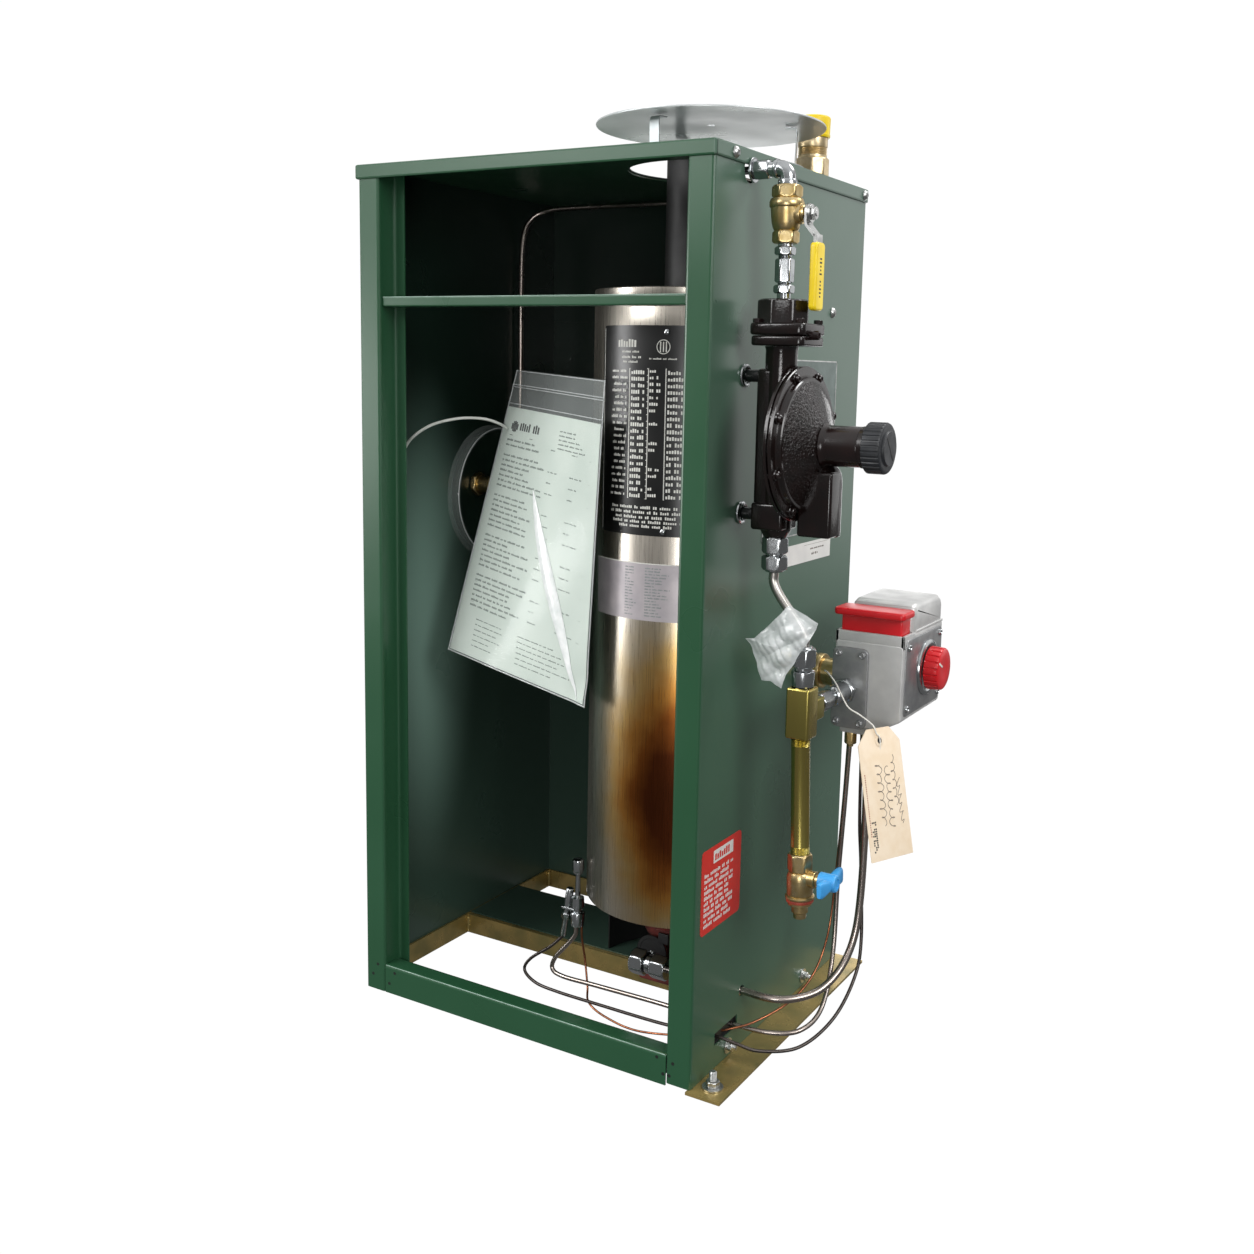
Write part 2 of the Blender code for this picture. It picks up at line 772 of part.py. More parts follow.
def make_inlet():
    """Elbow from the wall, ball valve with its lever, and the coupling down to the regulator."""
    elbow = stack(
        "inlet_elbow",
        PLATED,
        [
            (-0.0340, 0.0074, 0),
            (-0.0010, 0.0074, 0),
            (-0.0008, 0.0230, 0),
            (0.0012, 0.0230, 0),
            (0.0014, 0.0165, 6),
            (0.0170, 0.0165, 6),
            (0.0172, 0.0145, 0),
            (0.0220, 0.0145, 0),
            (0.0225, 0.0175, 0),
            (0.0260, 0.0175, 0),
            (0.0265, 0.0150, 0),
            (0.0390, 0.0150, 0),
            (0.0450, 0.0120, 0),
            (0.0475, 0.0070, 0),
        ],
        (RIGHT + 0.0040, TRAIN_Y, INLET_Z),
        "X",
    )
    leg = stack(
        "elbow_leg",
        PLATED,
        [
            (0.0000, 0.0180, 0),
            (0.0040, 0.0180, 0),
            (0.0045, 0.0150, 0),
            (0.0160, 0.0150, 0),
            (0.0210, 0.0100, 0),
        ],
        (TRAIN_X, TRAIN_Y, BALL_VALVE_Z + 0.0260 + GAP),
    )
    join(elbow, leg)
    body = stack(
        "ball_valve_body",
        BRASS,
        [
            (-0.0265, 0.0225, 6),
            (-0.0150, 0.0225, 6),
            (-0.0145, 0.0245, 0),
            (-0.0080, 0.0275, 0),
            (0.0060, 0.0300, 0),
            (0.0065, 0.0325, 0),
            (0.0110, 0.0325, 0),
            (0.0140, 0.0300, 0),
            (0.0145, 0.0255, 6),
            (0.0260, 0.0255, 6),
        ],
        (TRAIN_X, TRAIN_Y, BALL_VALVE_Z),
    )
    boss = stack(
        "ball_valve_boss",
        BRASS,
        [
            (0.0100, 0.0190, 0),
            (0.0165, 0.0190, 0),
            (0.0170, 0.0150, 0),
            (0.0190, 0.0150, 0),
            (0.0195, 0.0085, 0),
            (0.0210, 0.0085, 0),
        ],
        (TRAIN_X, TRAIN_Y, BALL_VALVE_Z),
        "X",
    )
    join(body, boss)
    make_lever()
    coupling = [
        (0.0000, 0.0130, 0),
        (0.0050, 0.0130, 0),
        (0.0052, 0.0175, 6),
        (0.0130, 0.0175, 6),
        (0.0132, 0.0130, 0),
        (0.0150, 0.0130, 0),
        (0.0152, 0.0160, 6),
        (0.0370, 0.0160, 6),
        (0.0372, 0.0120, 0),
        (0.0400, 0.0120, 0),
        (0.0402, 0.0175, 6),
        (0.0480, 0.0175, 6),
        (0.0482, 0.0140, 0),
        (BALL_VALVE_Z - 0.0265 - REGULATOR_TOP - 2 * GAP, 0.0140, 0),
    ]
    stack("inlet_coupling", PLATED, coupling, (TRAIN_X, TRAIN_Y, REGULATOR_TOP + GAP))


def make_lever():
    """Steel strap from the stem, stepped out to clear the body, with its nut and its vinyl grip."""
    pivot = bpy.data.objects.new("ball_valve_pivot", None)
    pivot.location = (TRAIN_X + 0.0226, TRAIN_Y, BALL_VALVE_Z)
    PARTS.objects.link(pivot)
    half = 0.0075
    path = rounded_path([(0, 0, 0.010), (0, 0, -0.010), (0.010, 0, -0.022), (0.010, 0, -0.078)], 0.004)

    def build(bm):
        near = [bm.verts.new((point.x, -half, point.z)) for point in path]
        far = [bm.verts.new((point.x, half, point.z)) for point in path]
        for index in range(len(path) - 1):
            bm.faces.new((near[index], near[index + 1], far[index + 1], far[index]))

    strap = place(mesh_object("ball_valve_lever", build), PLATED, parent=pivot)
    wall = strap.modifiers.new("wall", "SOLIDIFY")
    wall.thickness = 0.0025
    wall.offset = 0
    nut = stack(
        "lever_nut",
        PLATED,
        [
            (0.0005, 0.0165, 0),
            (0.0035, 0.0165, 0),
            (0.0036, 0.0110, 6),
            (0.0075, 0.0110, 6),
            (0.0085, 0.0050, 0),
        ],
        (0, 0, 0),
        "X",
        parent=pivot,
    )
    join(strap, nut)
    grip = box(
        "lever_grip", YELLOW_VINYL, (0.0062, -0.0098, -0.088), (0.0138, 0.0098, -0.026), 0.0025, parent=pivot
    )
    pocket = box(
        "cut_grip", BLACK_STEEL, (0.0084, -half - GAP, -0.0785), (0.0116, half + GAP, 0.0), parent=pivot
    )
    cut(grip, pocket)


def make_regulator():
    """Pressure regulator: inlet flange, body, round diaphragm case, bonnet and cap, on two standoffs."""
    low_plate = 0.733
    flange = box(
        "regulator_flange",
        BROWN_CAST,
        (TRAIN_X - 0.0230, TRAIN_Y - 0.0270, low_plate),
        (TRAIN_X + 0.0330, TRAIN_Y + 0.0270, low_plate + 0.021),
        0.003,
    )
    boss = stack(
        "regulator_boss",
        BROWN_CAST,
        [(low_plate + 0.018, 0.0470, 8), (REGULATOR_TOP - 0.002, 0.0470, 8), (REGULATOR_TOP, 0.0435, 8)],
        (TRAIN_X, TRAIN_Y, 0),
    )
    join(flange, boss)
    neck = stack(
        "regulator_body",
        BROWN_CAST,
        [
            (REGULATOR_FOOT, 0.0240, 0),
            (REGULATOR_FOOT + 0.006, 0.0300, 0),
            (0.640, 0.0300, 0),
            (low_plate - GAP, 0.0300, 0),
        ],
        (TRAIN_X, TRAIN_Y, 0),
    )
    back = box(
        "regulator_back",
        BROWN_CAST,
        (TRAIN_X - 0.0190, TRAIN_Y - 0.0140, 0.566),
        (TRAIN_X + 0.0060, TRAIN_Y + 0.0260, 0.712),
        0.003,
    )
    outlet = box(
        "regulator_outlet",
        BROWN_CAST,
        (TRAIN_X - 0.0190, TRAIN_Y - 0.0180, 0.560),
        (TRAIN_X + 0.0140, TRAIN_Y + 0.0180, 0.586),
        0.002,
    )
    join(neck, back, outlet)
    case_left = TRAIN_X + 0.0153
    case = stack(
        "diaphragm_case",
        BROWN_CAST,
        [
            (0.0000, 0.1180, 0),
            (0.0020, 0.1400, 0),
            (0.0022, 2 * DIAPHRAGM_RADIUS, 0),
            (0.0090, 2 * DIAPHRAGM_RADIUS, 0),
            (0.0092, 0.1260, 0),
            (0.0150, 0.1160, 0),
            (0.0200, 0.0940, 0),
            (0.0250, 0.0640, 0),
            (0.0290, 0.0480, 0),
            (0.0310, 0.0440, 0),
        ],
        (case_left, TRAIN_Y + 0.004, DIAPHRAGM_Z),
        "X",
        48,
    )
    vent = stack(
        "vent_boss",
        BROWN_CAST,
        [(0.556, 0.0340, 0), (0.560, 0.0360, 0), (0.604, 0.0340, 0), (0.616, 0.0220, 0)],
        (case_left + 0.0270, TRAIN_Y + 0.012, 0),
    )
    join(case, vent)
    bonnet_left = case_left + 0.0310 + GAP
    bonnet = [(0.0000, 0.0420, 0), (0.0040, 0.0385, 0), (0.0430, 0.0380, 0)]
    stack("spring_bonnet", BROWN_CAST, bonnet, (bonnet_left, TRAIN_Y + 0.004, DIAPHRAGM_Z), "X", 32)
    cap = stack(
        "bonnet_cap",
        BLACK_PLASTIC,
        [
            (0.0000, 0.0460, 0),
            (0.0010, 0.0475, 0),
            (0.0170, 0.0475, 0),
            (0.0190, 0.0430, 0),
            (0.0205, 0.0400, 0),
        ],
        (bonnet_left + 0.0430 + GAP, TRAIN_Y + 0.004, DIAPHRAGM_Z),
        "X",
        48,
    )
    slot = box(
        "cut_cap_slot",
        BLACK_STEEL,
        (bonnet_left + 0.0610, TRAIN_Y + 0.004 - 0.0012, DIAPHRAGM_Z - 0.014),
        (bonnet_left + 0.0700, TRAIN_Y + 0.004 + 0.0012, DIAPHRAGM_Z + 0.014),
    )
    cut(cap, slot)
    standoff_length = TRAIN_X - 0.0190 - RIGHT - 2 * GAP
    for name, level in zip(("standoff_upper", "standoff_lower"), STANDOFF_HEIGHTS):
        rod = [
            (0.0000, 0.0220, 0),
            (0.0018, 0.0220, 0),
            (0.0020, 0.0120, 0),
            (standoff_length, 0.0120, 0),
        ]
        stack(name, PLATED, rod, (RIGHT + GAP, TRAIN_Y + 0.002, level), "X")


def make_lower_train():
    """From the regulator: two nuts, the offset tube, the tee, the drip leg and its drain cock, and the
    union to the control valve. Everything below the tee leans slightly outwards."""
    nuts = [
        (0.0000, 0.0200, 0),
        (0.0020, 0.0225, 6),
        (0.0160, 0.0225, 6),
        (0.0165, 0.0180, 0),
        (0.0175, 0.0180, 0),
        (0.0180, 0.0225, 6),
        (0.0320, 0.0225, 6),
        (0.0340, 0.0170, 0),
    ]
    stack("outlet_nuts", PLATED, nuts, (TRAIN_X, TRAIN_Y, REGULATOR_FOOT - GAP), "-Z")
    tube_top = REGULATOR_FOOT - 0.0340 - 3 * GAP
    tee_top = OUTLET_Z + TEE_HEIGHT / 2
    nut_height = 0.040
    tube_foot = tee_top + nut_height + 3 * GAP
    offset = [
        (TRAIN_X, TRAIN_Y, tube_top),
        (TRAIN_X, TRAIN_Y, tube_top - 0.009),
        (TRAIN_X + 0.006, TRAIN_Y, tube_top - 0.021),
        (LOWER_X - 0.008, TRAIN_Y, tube_foot + 0.020),
        (LOWER_X, TRAIN_Y, tube_foot + 0.007),
        (LOWER_X, TRAIN_Y, tube_foot),
    ]
    tube("offset_tube", PLATED, offset, 0.0095, 0.006, 3)
    tee_nuts = [
        (0.0000, 0.0210, 0),
        (0.0160, 0.0230, 0),
        (0.0165, 0.0170, 0),
        (0.0190, 0.0170, 0),
        (0.0195, 0.0215, 6),
        (0.0380, 0.0215, 6),
        (nut_height, 0.0150, 0),
    ]
    stack("tee_nuts", PLATED, tee_nuts, (LOWER_X, TRAIN_Y, tee_top + GAP))
    half = TEE_SIDE / 2
    tee = box(
        "tee_block",
        BRASS,
        (LOWER_X - half, TRAIN_Y - half, OUTLET_Z - TEE_HEIGHT / 2),
        (LOWER_X + half, TRAIN_Y + half, tee_top),
        0.0015,
    )
    outlet = stack(
        "tee_outlet",
        BRASS,
        [(half - 0.003, 0.021, 4), (half + 0.020, 0.021, 4)],
        (LOWER_X, TRAIN_Y, OUTLET_Z),
        "Y",
    )
    join(tee, outlet)
    union_length = VALVE_FRONT - SIDE_PLATE - TRAIN_Y - half - 0.020 - 3 * GAP
    union = [
        (0.0000, 0.0130, 0),
        (0.0060, 0.0130, 0),
        (0.0065, 0.0175, 6),
        (0.0300, 0.0175, 6),
        (0.0305, 0.0120, 0),
        (0.0420, 0.0120, 0),
        (0.0430, 0.0200, 0),
        (union_length - 0.0080, 0.0215, 0),
        (union_length - 0.0070, 0.0240, 6),
        (union_length, 0.0240, 6),
    ]
    stack("inlet_union", PLATED, union, (LOWER_X, TRAIN_Y + half + 0.020 + GAP, OUTLET_Z), "Y")
    make_drip_leg()


def make_drip_leg():
    """Drip nipple and drain cock, hung from the tee on one leaning axis."""
    lean = bpy.data.objects.new("drip_leg_lean", None)
    lean.location = (LOWER_X, TRAIN_Y, OUTLET_Z - TEE_HEIGHT / 2)
    lean.rotation_euler = (0, -LOWER_LEAN, 0)
    PARTS.objects.link(lean)
    top = -0.0010
    nipple = [(top - DRIP_LENGTH, 0.0185, 0), (top, 0.0185, 0)]
    stack("drip_nipple", BRASS, nipple, (0, 0, 0), parent=lean)
    cock_top = top - DRIP_LENGTH - GAP
    stem = -DRAIN_STEM_BELOW_TEE + TEE_HEIGHT / 2
    body = stack(
        "drain_cock_body",
        BRASS,
        [
            (cock_top, 0.0215, 6),
            (cock_top - 0.0180, 0.0215, 6),
            (cock_top - 0.0185, 0.0240, 0),
            (cock_top - 0.0250, 0.0260, 0),
            (cock_top - 0.0420, 0.0260, 0),
            (cock_top - 0.0425, 0.0290, 0),
            (cock_top - 0.0450, 0.0290, 0),
            (cock_top - 0.0455, 0.0240, 0),
            (cock_top - 0.0520, 0.0240, 0),
            (cock_top - 0.0525, 0.0165, 0),
            (cock_top - 0.0600, 0.0165, 0),
            (cock_top - 0.0605, 0.0130, 0),
            (cock_top - 0.0660, 0.0130, 0),
        ],
        (0, 0, 0),
        parent=lean,
    )
    boss = stack(
        "drain_cock_boss",
        BRASS,
        [(0.0080, 0.0165, 0), (0.0170, 0.0165, 0), (0.0175, 0.0120, 0), (0.0210, 0.0120, 0)],
        (0, 0, stem),
        "X",
        parent=lean,
    )
    join(body, boss)
    hub = stack(
        "drain_cock_handle",
        BLUE_PLASTIC,
        [(0.0213, 0.0180, 0), (0.0380, 0.0170, 0), (0.0400, 0.0140, 0)],
        (0, 0, stem),
        "X",
        parent=lean,
    )
    wings = box(
        "drain_wings",
        BLUE_PLASTIC,
        (0.0265, -0.0270, stem - 0.0075),
        (0.0375, 0.0270, stem + 0.0075),
        0.0025,
        parent=lean,
    )
    join(hub, wings)


def make_control_valve():
    """Die-cast control valve on its brass shank, with inlet plate, red pilot button and red dial."""
    shank_length = VALVE_LEFT - RIGHT - GAP
    stack(
        "thermostat_shank",
        BRASS,
        [
            (-0.0168, 0.0200, 0),
            (-0.0030, 0.0200, 0),
            (-0.0028, 0.0300, 0),
            (0.0020, 0.0300, 0),
            (0.0022, 0.0340, 6),
            (0.0170, 0.0340, 6),
            (0.0172, 0.0380, 0),
            (0.0260, 0.0380, 0),
            (0.0262, 0.0300, 0),
            (shank_length, 0.0300, 0),
        ],
        (RIGHT, SHANK_Y, SHANK_Z),
        "X",
    )
    body = box(
        "valve_body",
        GREY_CAST,
        (VALVE_LEFT, VALVE_FRONT, VALVE_BOTTOM),
        (VALVE_RIGHT, VALVE_BACK, VALVE_SHOULDER),
        0.004,
    )
    cover = box(
        "valve_upper",
        GREY_CAST,
        (VALVE_LEFT + 0.010, VALVE_FRONT + 0.030, VALVE_SHOULDER - 0.002),
        (VALVE_RIGHT - 0.001, VALVE_BACK - 0.001, VALVE_TOP),
        0.006,
    )
    bezel = stack(
        "valve_bezel",
        GREY_CAST,
        [(-0.002, 0.0570, 0), (0.0030, 0.0570, 0), (0.0045, 0.0530, 0)],
        (VALVE_RIGHT, KNOB_Y, KNOB_Z),
        "X",
        32,
    )
    base = box(
        "valve_base",
        GREY_CAST,
        (VALVE_LEFT + 0.004, VALVE_FRONT + 0.010, VALVE_BOTTOM - 0.010),
        (VALVE_LEFT + 0.040, VALVE_FRONT + 0.050, VALVE_BOTTOM + 0.002),
    )
    join(body, cover, bezel, base)
    edge = box(
        "cut_valve_edge",
        BLACK_STEEL,
        (-0.060, -0.200, -0.025),
        (0.060, 0.200, 0.0),
    )
    edge.location += Vector((VALVE_RIGHT, 0, VALVE_BOTTOM + 0.012))
    edge.rotation_euler = (0, math.radians(-28), 0)
    button_bay = box(
        "cut_button_bay",
        BLACK_STEEL,
        (VALVE_LEFT + 0.0035, VALVE_FRONT + 0.0035, VALVE_SHOULDER - 0.010),
        (VALVE_RIGHT - 0.0035, VALVE_FRONT + 0.0295, VALVE_SHOULDER + 0.010),
    )
    cut(body, edge, button_bay)
    box(
        "valve_inlet_plate",
        GREY_CAST,
        (VALVE_LEFT - 0.001, VALVE_FRONT - SIDE_PLATE, VALVE_BOTTOM - 0.001),
        (VALVE_LEFT + 0.038, VALVE_FRONT - GAP, 0.430),
        0.0012,
    )
    button = box(
        "pilot_button",
        RED_PLASTIC,
        (VALVE_LEFT + 0.0042, VALVE_FRONT + 0.0042, VALVE_SHOULDER - 0.010 + BUTTON_TRAVEL + 0.001),
        (VALVE_RIGHT - 0.0042, VALVE_FRONT + 0.0288, VALVE_SHOULDER + 0.020),
        0.0012,
    )
    lid = box(
        "pilot_button_lid",
        RED_PLASTIC,
        (VALVE_LEFT - 0.0020, VALVE_FRONT - 0.0050, VALVE_SHOULDER + 0.017),
        (VALVE_RIGHT + 0.0010, VALVE_FRONT + 0.0292, VALVE_SHOULDER + 0.024),
        0.0020,
    )
    join(button, lid)
    knob = [
        (0.0000, 2 * KNOB_RADIUS - 0.003, 0),
        (0.0015, 2 * KNOB_RADIUS, 0),
        (KNOB_DEPTH - 0.0020, 2 * KNOB_RADIUS - 0.002, 0),
        (KNOB_DEPTH, 2 * KNOB_RADIUS - 0.008, 0),
    ]
    stack("control_knob", RED_PLASTIC, knob, (VALVE_RIGHT + 0.0048, KNOB_Y, KNOB_Z), "X", 48)


def make_tubes():
    """Gas, pilot and sensor lines. Each is one piece from the valve, through the wall, to the burner."""
    hole_y, hole_z = TUBE_HOLE
    foot = VALVE_BOTTOM - 0.010 - GAP
    burner_tube = [
        (0.302, FRONT + 0.208, foot),
        (0.305, FRONT + 0.205, 0.235),
        (0.306, FRONT + 0.198, 0.155),
        (0.304, FRONT + 0.188, 0.112),
        (0.297, FRONT + 0.170, 0.084),
        (0.285, FRONT + 0.145, 0.068),
        (0.266, FRONT + 0.121, 0.0635),
        (0.244, FRONT + hole_y, hole_z),
        (RIGHT, FRONT + hole_y, hole_z),
        (0.180, FRONT + hole_y, hole_z),
        (0.088 - 0.009 + 0.044 + GAP, FRONT + hole_y, hole_z),
    ]
    tube("burner_tube", PLATED, burner_tube, 0.0080, 0.016, 2)
    pilot_tube = [
        (0.286, FRONT + 0.200, foot),
        (0.283, FRONT + 0.200, 0.260),
        (0.280, FRONT + 0.197, 0.171),
        (0.284, FRONT + 0.182, 0.095),
        (0.289, FRONT + 0.145, 0.050),
        (0.279, FRONT + 0.112, 0.036),
        (0.250, FRONT + 0.094, 0.034),
        (RIGHT, FRONT + 0.089, 0.0345),
        (0.170, FRONT + 0.090, 0.031),
        (0.128, FRONT + 0.093, 0.031),
        (0.044, FRONT + 0.094, 0.029),
        (-0.004, FRONT + 0.094, 0.028),
        (-0.020, FRONT + 0.095, 0.033),
        (-0.017, FRONT + 0.097, 0.047),
        (0.000, FRONT + 0.099, 0.068),
        (0.008, FRONT + 0.100, 0.080),
        (0.008, FRONT + 0.100, 0.0897),
    ]
    tube("pilot_tube", PLATED, pilot_tube, 0.0055, 0.015, 2)
    sensor_lead = [
        (0.293, FRONT + 0.214, foot),
        (0.297, FRONT + 0.209, 0.239),
        (0.301, FRONT + 0.208, 0.190),
        (0.310, FRONT + 0.196, 0.112),
        (0.311, FRONT + 0.178, 0.075),
        (0.303, FRONT + 0.142, 0.042),
        (0.283, FRONT + 0.103, 0.023),
        (0.252, FRONT + 0.074, 0.023),
        (0.230, FRONT + 0.063, 0.030),
        (RIGHT, FRONT + 0.058, 0.0345),
        (0.180, FRONT + 0.064, 0.029),
        (0.130, FRONT + 0.074, 0.020),
        (0.048, FRONT + 0.083, 0.014),
        (-0.006, FRONT + 0.085, 0.013),
        (-0.036, FRONT + 0.085, 0.016),
        (-0.053, FRONT + 0.087, 0.026),
        (-0.047, FRONT + 0.090, 0.040),
        (-0.024, FRONT + 0.096, 0.058),
        (-0.0118, FRONT + 0.100, 0.0705),
        (-0.0098, FRONT + 0.100, 0.0725),
    ]
    tube("sensor_lead", BLACK_PLASTIC, sensor_lead, 0.0036, 0.015, 2)
    copper_tube = [
        (0.279, FRONT + 0.212, foot),
        (0.277, FRONT + 0.210, 0.257),
        (0.273, FRONT + 0.207, 0.168),
        (0.272, FRONT + 0.196, 0.110),
        (0.270, FRONT + 0.165, 0.075),
        (0.259, FRONT + 0.130, 0.055),
        (0.236, FRONT + 0.092, 0.042),
        (RIGHT, FRONT + 0.074, 0.0350),
        (0.180, FRONT + 0.072, 0.020),
        (0.112, FRONT + 0.070, 0.006),
        (0.066, FRONT + 0.076, 0.006),
        (0.036, FRONT + 0.086, 0.011),
        (0.024, FRONT + 0.101, 0.022),
        (0.016, FRONT + 0.107, 0.050),
        (0.0135, FRONT + 0.104, 0.075),
        (0.0135, FRONT + 0.1035, 0.0897),
    ]
    tube("copper_tube", COPPER, copper_tube, 0.0024, 0.015, 2)
    gas_header = [
        (RIGHT - 0.0308, TRAIN_Y, INLET_Z),
        (0.174, FRONT + 0.0705, 0.8955),
        (0.166, FRONT + 0.082, 0.8965),
        (0.164, FRONT + 0.120, 0.8980),
        (0.164, FRONT + 0.200, 0.9000),
        (0.158, FRONT + 0.255, 0.9005),
        (0.136, FRONT + 0.288, 0.9010),
        (0.090, FRONT + 0.297, 0.9010),
        (0.000, FRONT + 0.297, 0.9010),
        (-0.120, FRONT + 0.296, 0.9010),
        (-0.175, FRONT + 0.294, 0.8990),
        (-0.196, FRONT + 0.286, 0.8880),
        (-0.203, FRONT + 0.279, 0.8640),
        (-0.204, FRONT + 0.277, 0.8000),
        (-0.204, FRONT + 0.277, 0.6900),
        (-0.202, FRONT + 0.272, 0.6500),
        (-0.190, FRONT + 0.250, 0.6150),
        (-0.177, FRONT + 0.225, 0.5900),
        (-0.1715, FRONT + 0.205, 0.5720),
    ]
    tube("gas_header", PLATED, gas_header, 0.0064, 0.018, 2)


def make_soft_pieces():
    """Document pouch and its nylon strap, the bag round the offset tube, and the card tag on its string."""
    hung_sheet(
        "document_pouch",
        CLEAR_FILM,
        [
            (-0.121, FRONT + 0.158, 0.705),
            (0.066, FRONT + 0.052, 0.697),
            (0.046, FRONT + 0.055, 0.356),
            (-0.158, FRONT + 0.080, 0.388),
        ],
        0.004,
        0.003,
    )
    strap = [
        (LEFT + 0.0036, FRONT + 0.064, 0.612),
        (-0.195, FRONT + 0.062, 0.627),
        (-0.174, FRONT + 0.070, 0.642),
        (-0.150, FRONT + 0.088, 0.650),
        (-0.131, FRONT + 0.108, 0.650),
        (-0.1200, FRONT + 0.1220, 0.6450),
        (-0.1175, FRONT + 0.1338, 0.6395),
    ]
    tube("pouch_strap", WHITE_NYLON, strap, 0.0034, 0.008, 2)
    box("tube_bag", CLEAR_FILM, (0.229, TRAIN_Y - 0.0160, 0.405), (0.297, TRAIN_Y - 0.0130, 0.486), 0.001)
    make_tag()


def make_tag():
    """Card tag with clipped top corners, turned to face right, and the string it hangs by."""
    half = TAG_WIDTH / 2
    clip = 0.015
    outline = [
        (-half, -TAG_LENGTH / 2),
        (half, -TAG_LENGTH / 2),
        (half, TAG_LENGTH / 2 - clip),
        (half - clip, TAG_LENGTH / 2),
        (clip - half, TAG_LENGTH / 2),
        (-half, TAG_LENGTH / 2 - clip),
    ]

    def build(bm):
        front = [bm.verts.new((x, -0.0004, z)) for x, z in outline]
        rear = [bm.verts.new((x, 0.0004, z)) for x, z in outline]
        bm.faces.new(front)
        bm.faces.new(rear[::-1])
        for index in range(len(outline)):
            after = (index + 1) % len(outline)
            bm.faces.new((front[index], rear[index], rear[after], front[after]))

    place(mesh_object("card_tag", build), MANILA, TAG_CENTRE, TAG_TURN)
    string = [
        (0.2461, SHANK_Y - 0.0162, SHANK_Z + 0.0038),
        (0.2580, FRONT + 0.1900, 0.3995),
        (0.2720, FRONT + 0.1670, 0.4025),
        (0.2874, FRONT + 0.1500, 0.3975),
        (0.2980, FRONT + 0.1390, 0.3900),
        (0.3087, FRONT + 0.1330, 0.3795),
        (0.3195, FRONT + 0.1370, 0.3725),
        (0.3314, FRONT + 0.1428, 0.3625),
        (0.3346, FRONT + 0.1454, 0.3542),
        (0.3373, FRONT + 0.1490, 0.3480),
    ]
    tube("tag_string", WHITE_NYLON, string, 0.0016, 0.004, 2)


def main():
    clear_scene()
    make_base()
    make_cabinet()
    make_rain_cap()
    make_relief_valve()
    make_tank()
    make_burner()
    make_wall_port()
    make_inlet()
    make_regulator()
    make_lower_train()
    make_control_valve()
    make_tubes()
    make_soft_pieces()


main()
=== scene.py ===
import math
import bpy
import numpy as np
from mathutils import Matrix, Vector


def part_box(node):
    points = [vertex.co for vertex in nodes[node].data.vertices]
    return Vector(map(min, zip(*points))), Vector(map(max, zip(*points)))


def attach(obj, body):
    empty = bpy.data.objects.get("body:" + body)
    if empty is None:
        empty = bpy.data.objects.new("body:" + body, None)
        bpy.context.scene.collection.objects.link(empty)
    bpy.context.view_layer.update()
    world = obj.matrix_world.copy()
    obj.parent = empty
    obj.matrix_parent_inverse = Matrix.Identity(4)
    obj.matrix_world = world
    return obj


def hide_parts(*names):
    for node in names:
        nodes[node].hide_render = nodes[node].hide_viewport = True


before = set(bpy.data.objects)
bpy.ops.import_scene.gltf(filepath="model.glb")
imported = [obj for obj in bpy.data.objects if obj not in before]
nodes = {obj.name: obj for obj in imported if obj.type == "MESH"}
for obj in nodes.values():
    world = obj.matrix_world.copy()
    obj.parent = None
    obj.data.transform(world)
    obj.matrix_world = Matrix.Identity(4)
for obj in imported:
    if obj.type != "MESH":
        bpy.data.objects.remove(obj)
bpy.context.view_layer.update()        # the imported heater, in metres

random = np.random.default_rng(11)


def linearColour(text):                 # sRGB hex to linear: c/12.92, or ((c+0.055)/1.055)^2.4
    parts = [int(text[i:i + 2], 16) / 255 for i in (1, 3, 5)]
    return [c / 12.92 if c < 0.04045 else ((c + 0.055) / 1.055) ** 2.4 for c in parts] + [1.0]


def centre(node):
    low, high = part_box(node)
    return (np.array(low) + np.array(high)) / 2


def addNode(tree, kind, values=None, links=None, **settings):
    node = tree.nodes.new(kind)
    for key, value in settings.items():
        setattr(node, key, value)
    for key, value in (values or {}).items():
        node.inputs[key].default_value = value
    for key, source in (links or {}).items():
        tree.links.new(source, node.inputs[key])
    return node


def newMaterial(name):
    material = bpy.data.materials.new(name)
    material.use_nodes = True
    tree = material.node_tree
    made[name] = material
    return tree, tree.nodes["Principled BSDF"], addNode(tree, "ShaderNodeTexCoord").outputs["Object"]


def addNoise(tree, place, scale, detail):
    return addNode(tree, "ShaderNodeTexNoise", {"Scale": scale, "Detail": detail},
                   {"Vector": place}).outputs["Fac"]


# A sum on colours, vectors or numbers: each term is a value or another node's output
def addSum(tree, operation, *terms, kind="ShaderNodeVectorMath"):
    node = addNode(tree, kind, operation=operation)
    for socket, term in zip(node.inputs, terms):
        if isinstance(term, bpy.types.NodeSocket):
            tree.links.new(term, socket)
        else:
            socket.default_value = term
    return node.outputs["Value" if operation in ("DOT_PRODUCT", "LENGTH") else 0]


def addNumber(tree, operation, *terms):
    return addSum(tree, operation, *terms, kind="ShaderNodeMath")


def addRange(tree, value, start, end, low, high):       # carries start..end to low..high
    ends = {"From Min": start, "From Max": end, "To Min": low, "To Max": high}
    return addNode(tree, "ShaderNodeMapRange", ends, {"Value": value})


def finishSurface(tree, shader, colour, rough, height, share, depth):       # depth of the bump in metres
    bump = addNode(tree, "ShaderNodeBump", {"Strength": share, "Distance": depth}, {"Height": height})
    tree.links.new(colour, shader.inputs["Base Color"])
    tree.links.new(bump.outputs["Normal"], shader.inputs["Normal"])
    if rough:
        tree.links.new(rough, shader.inputs["Roughness"])


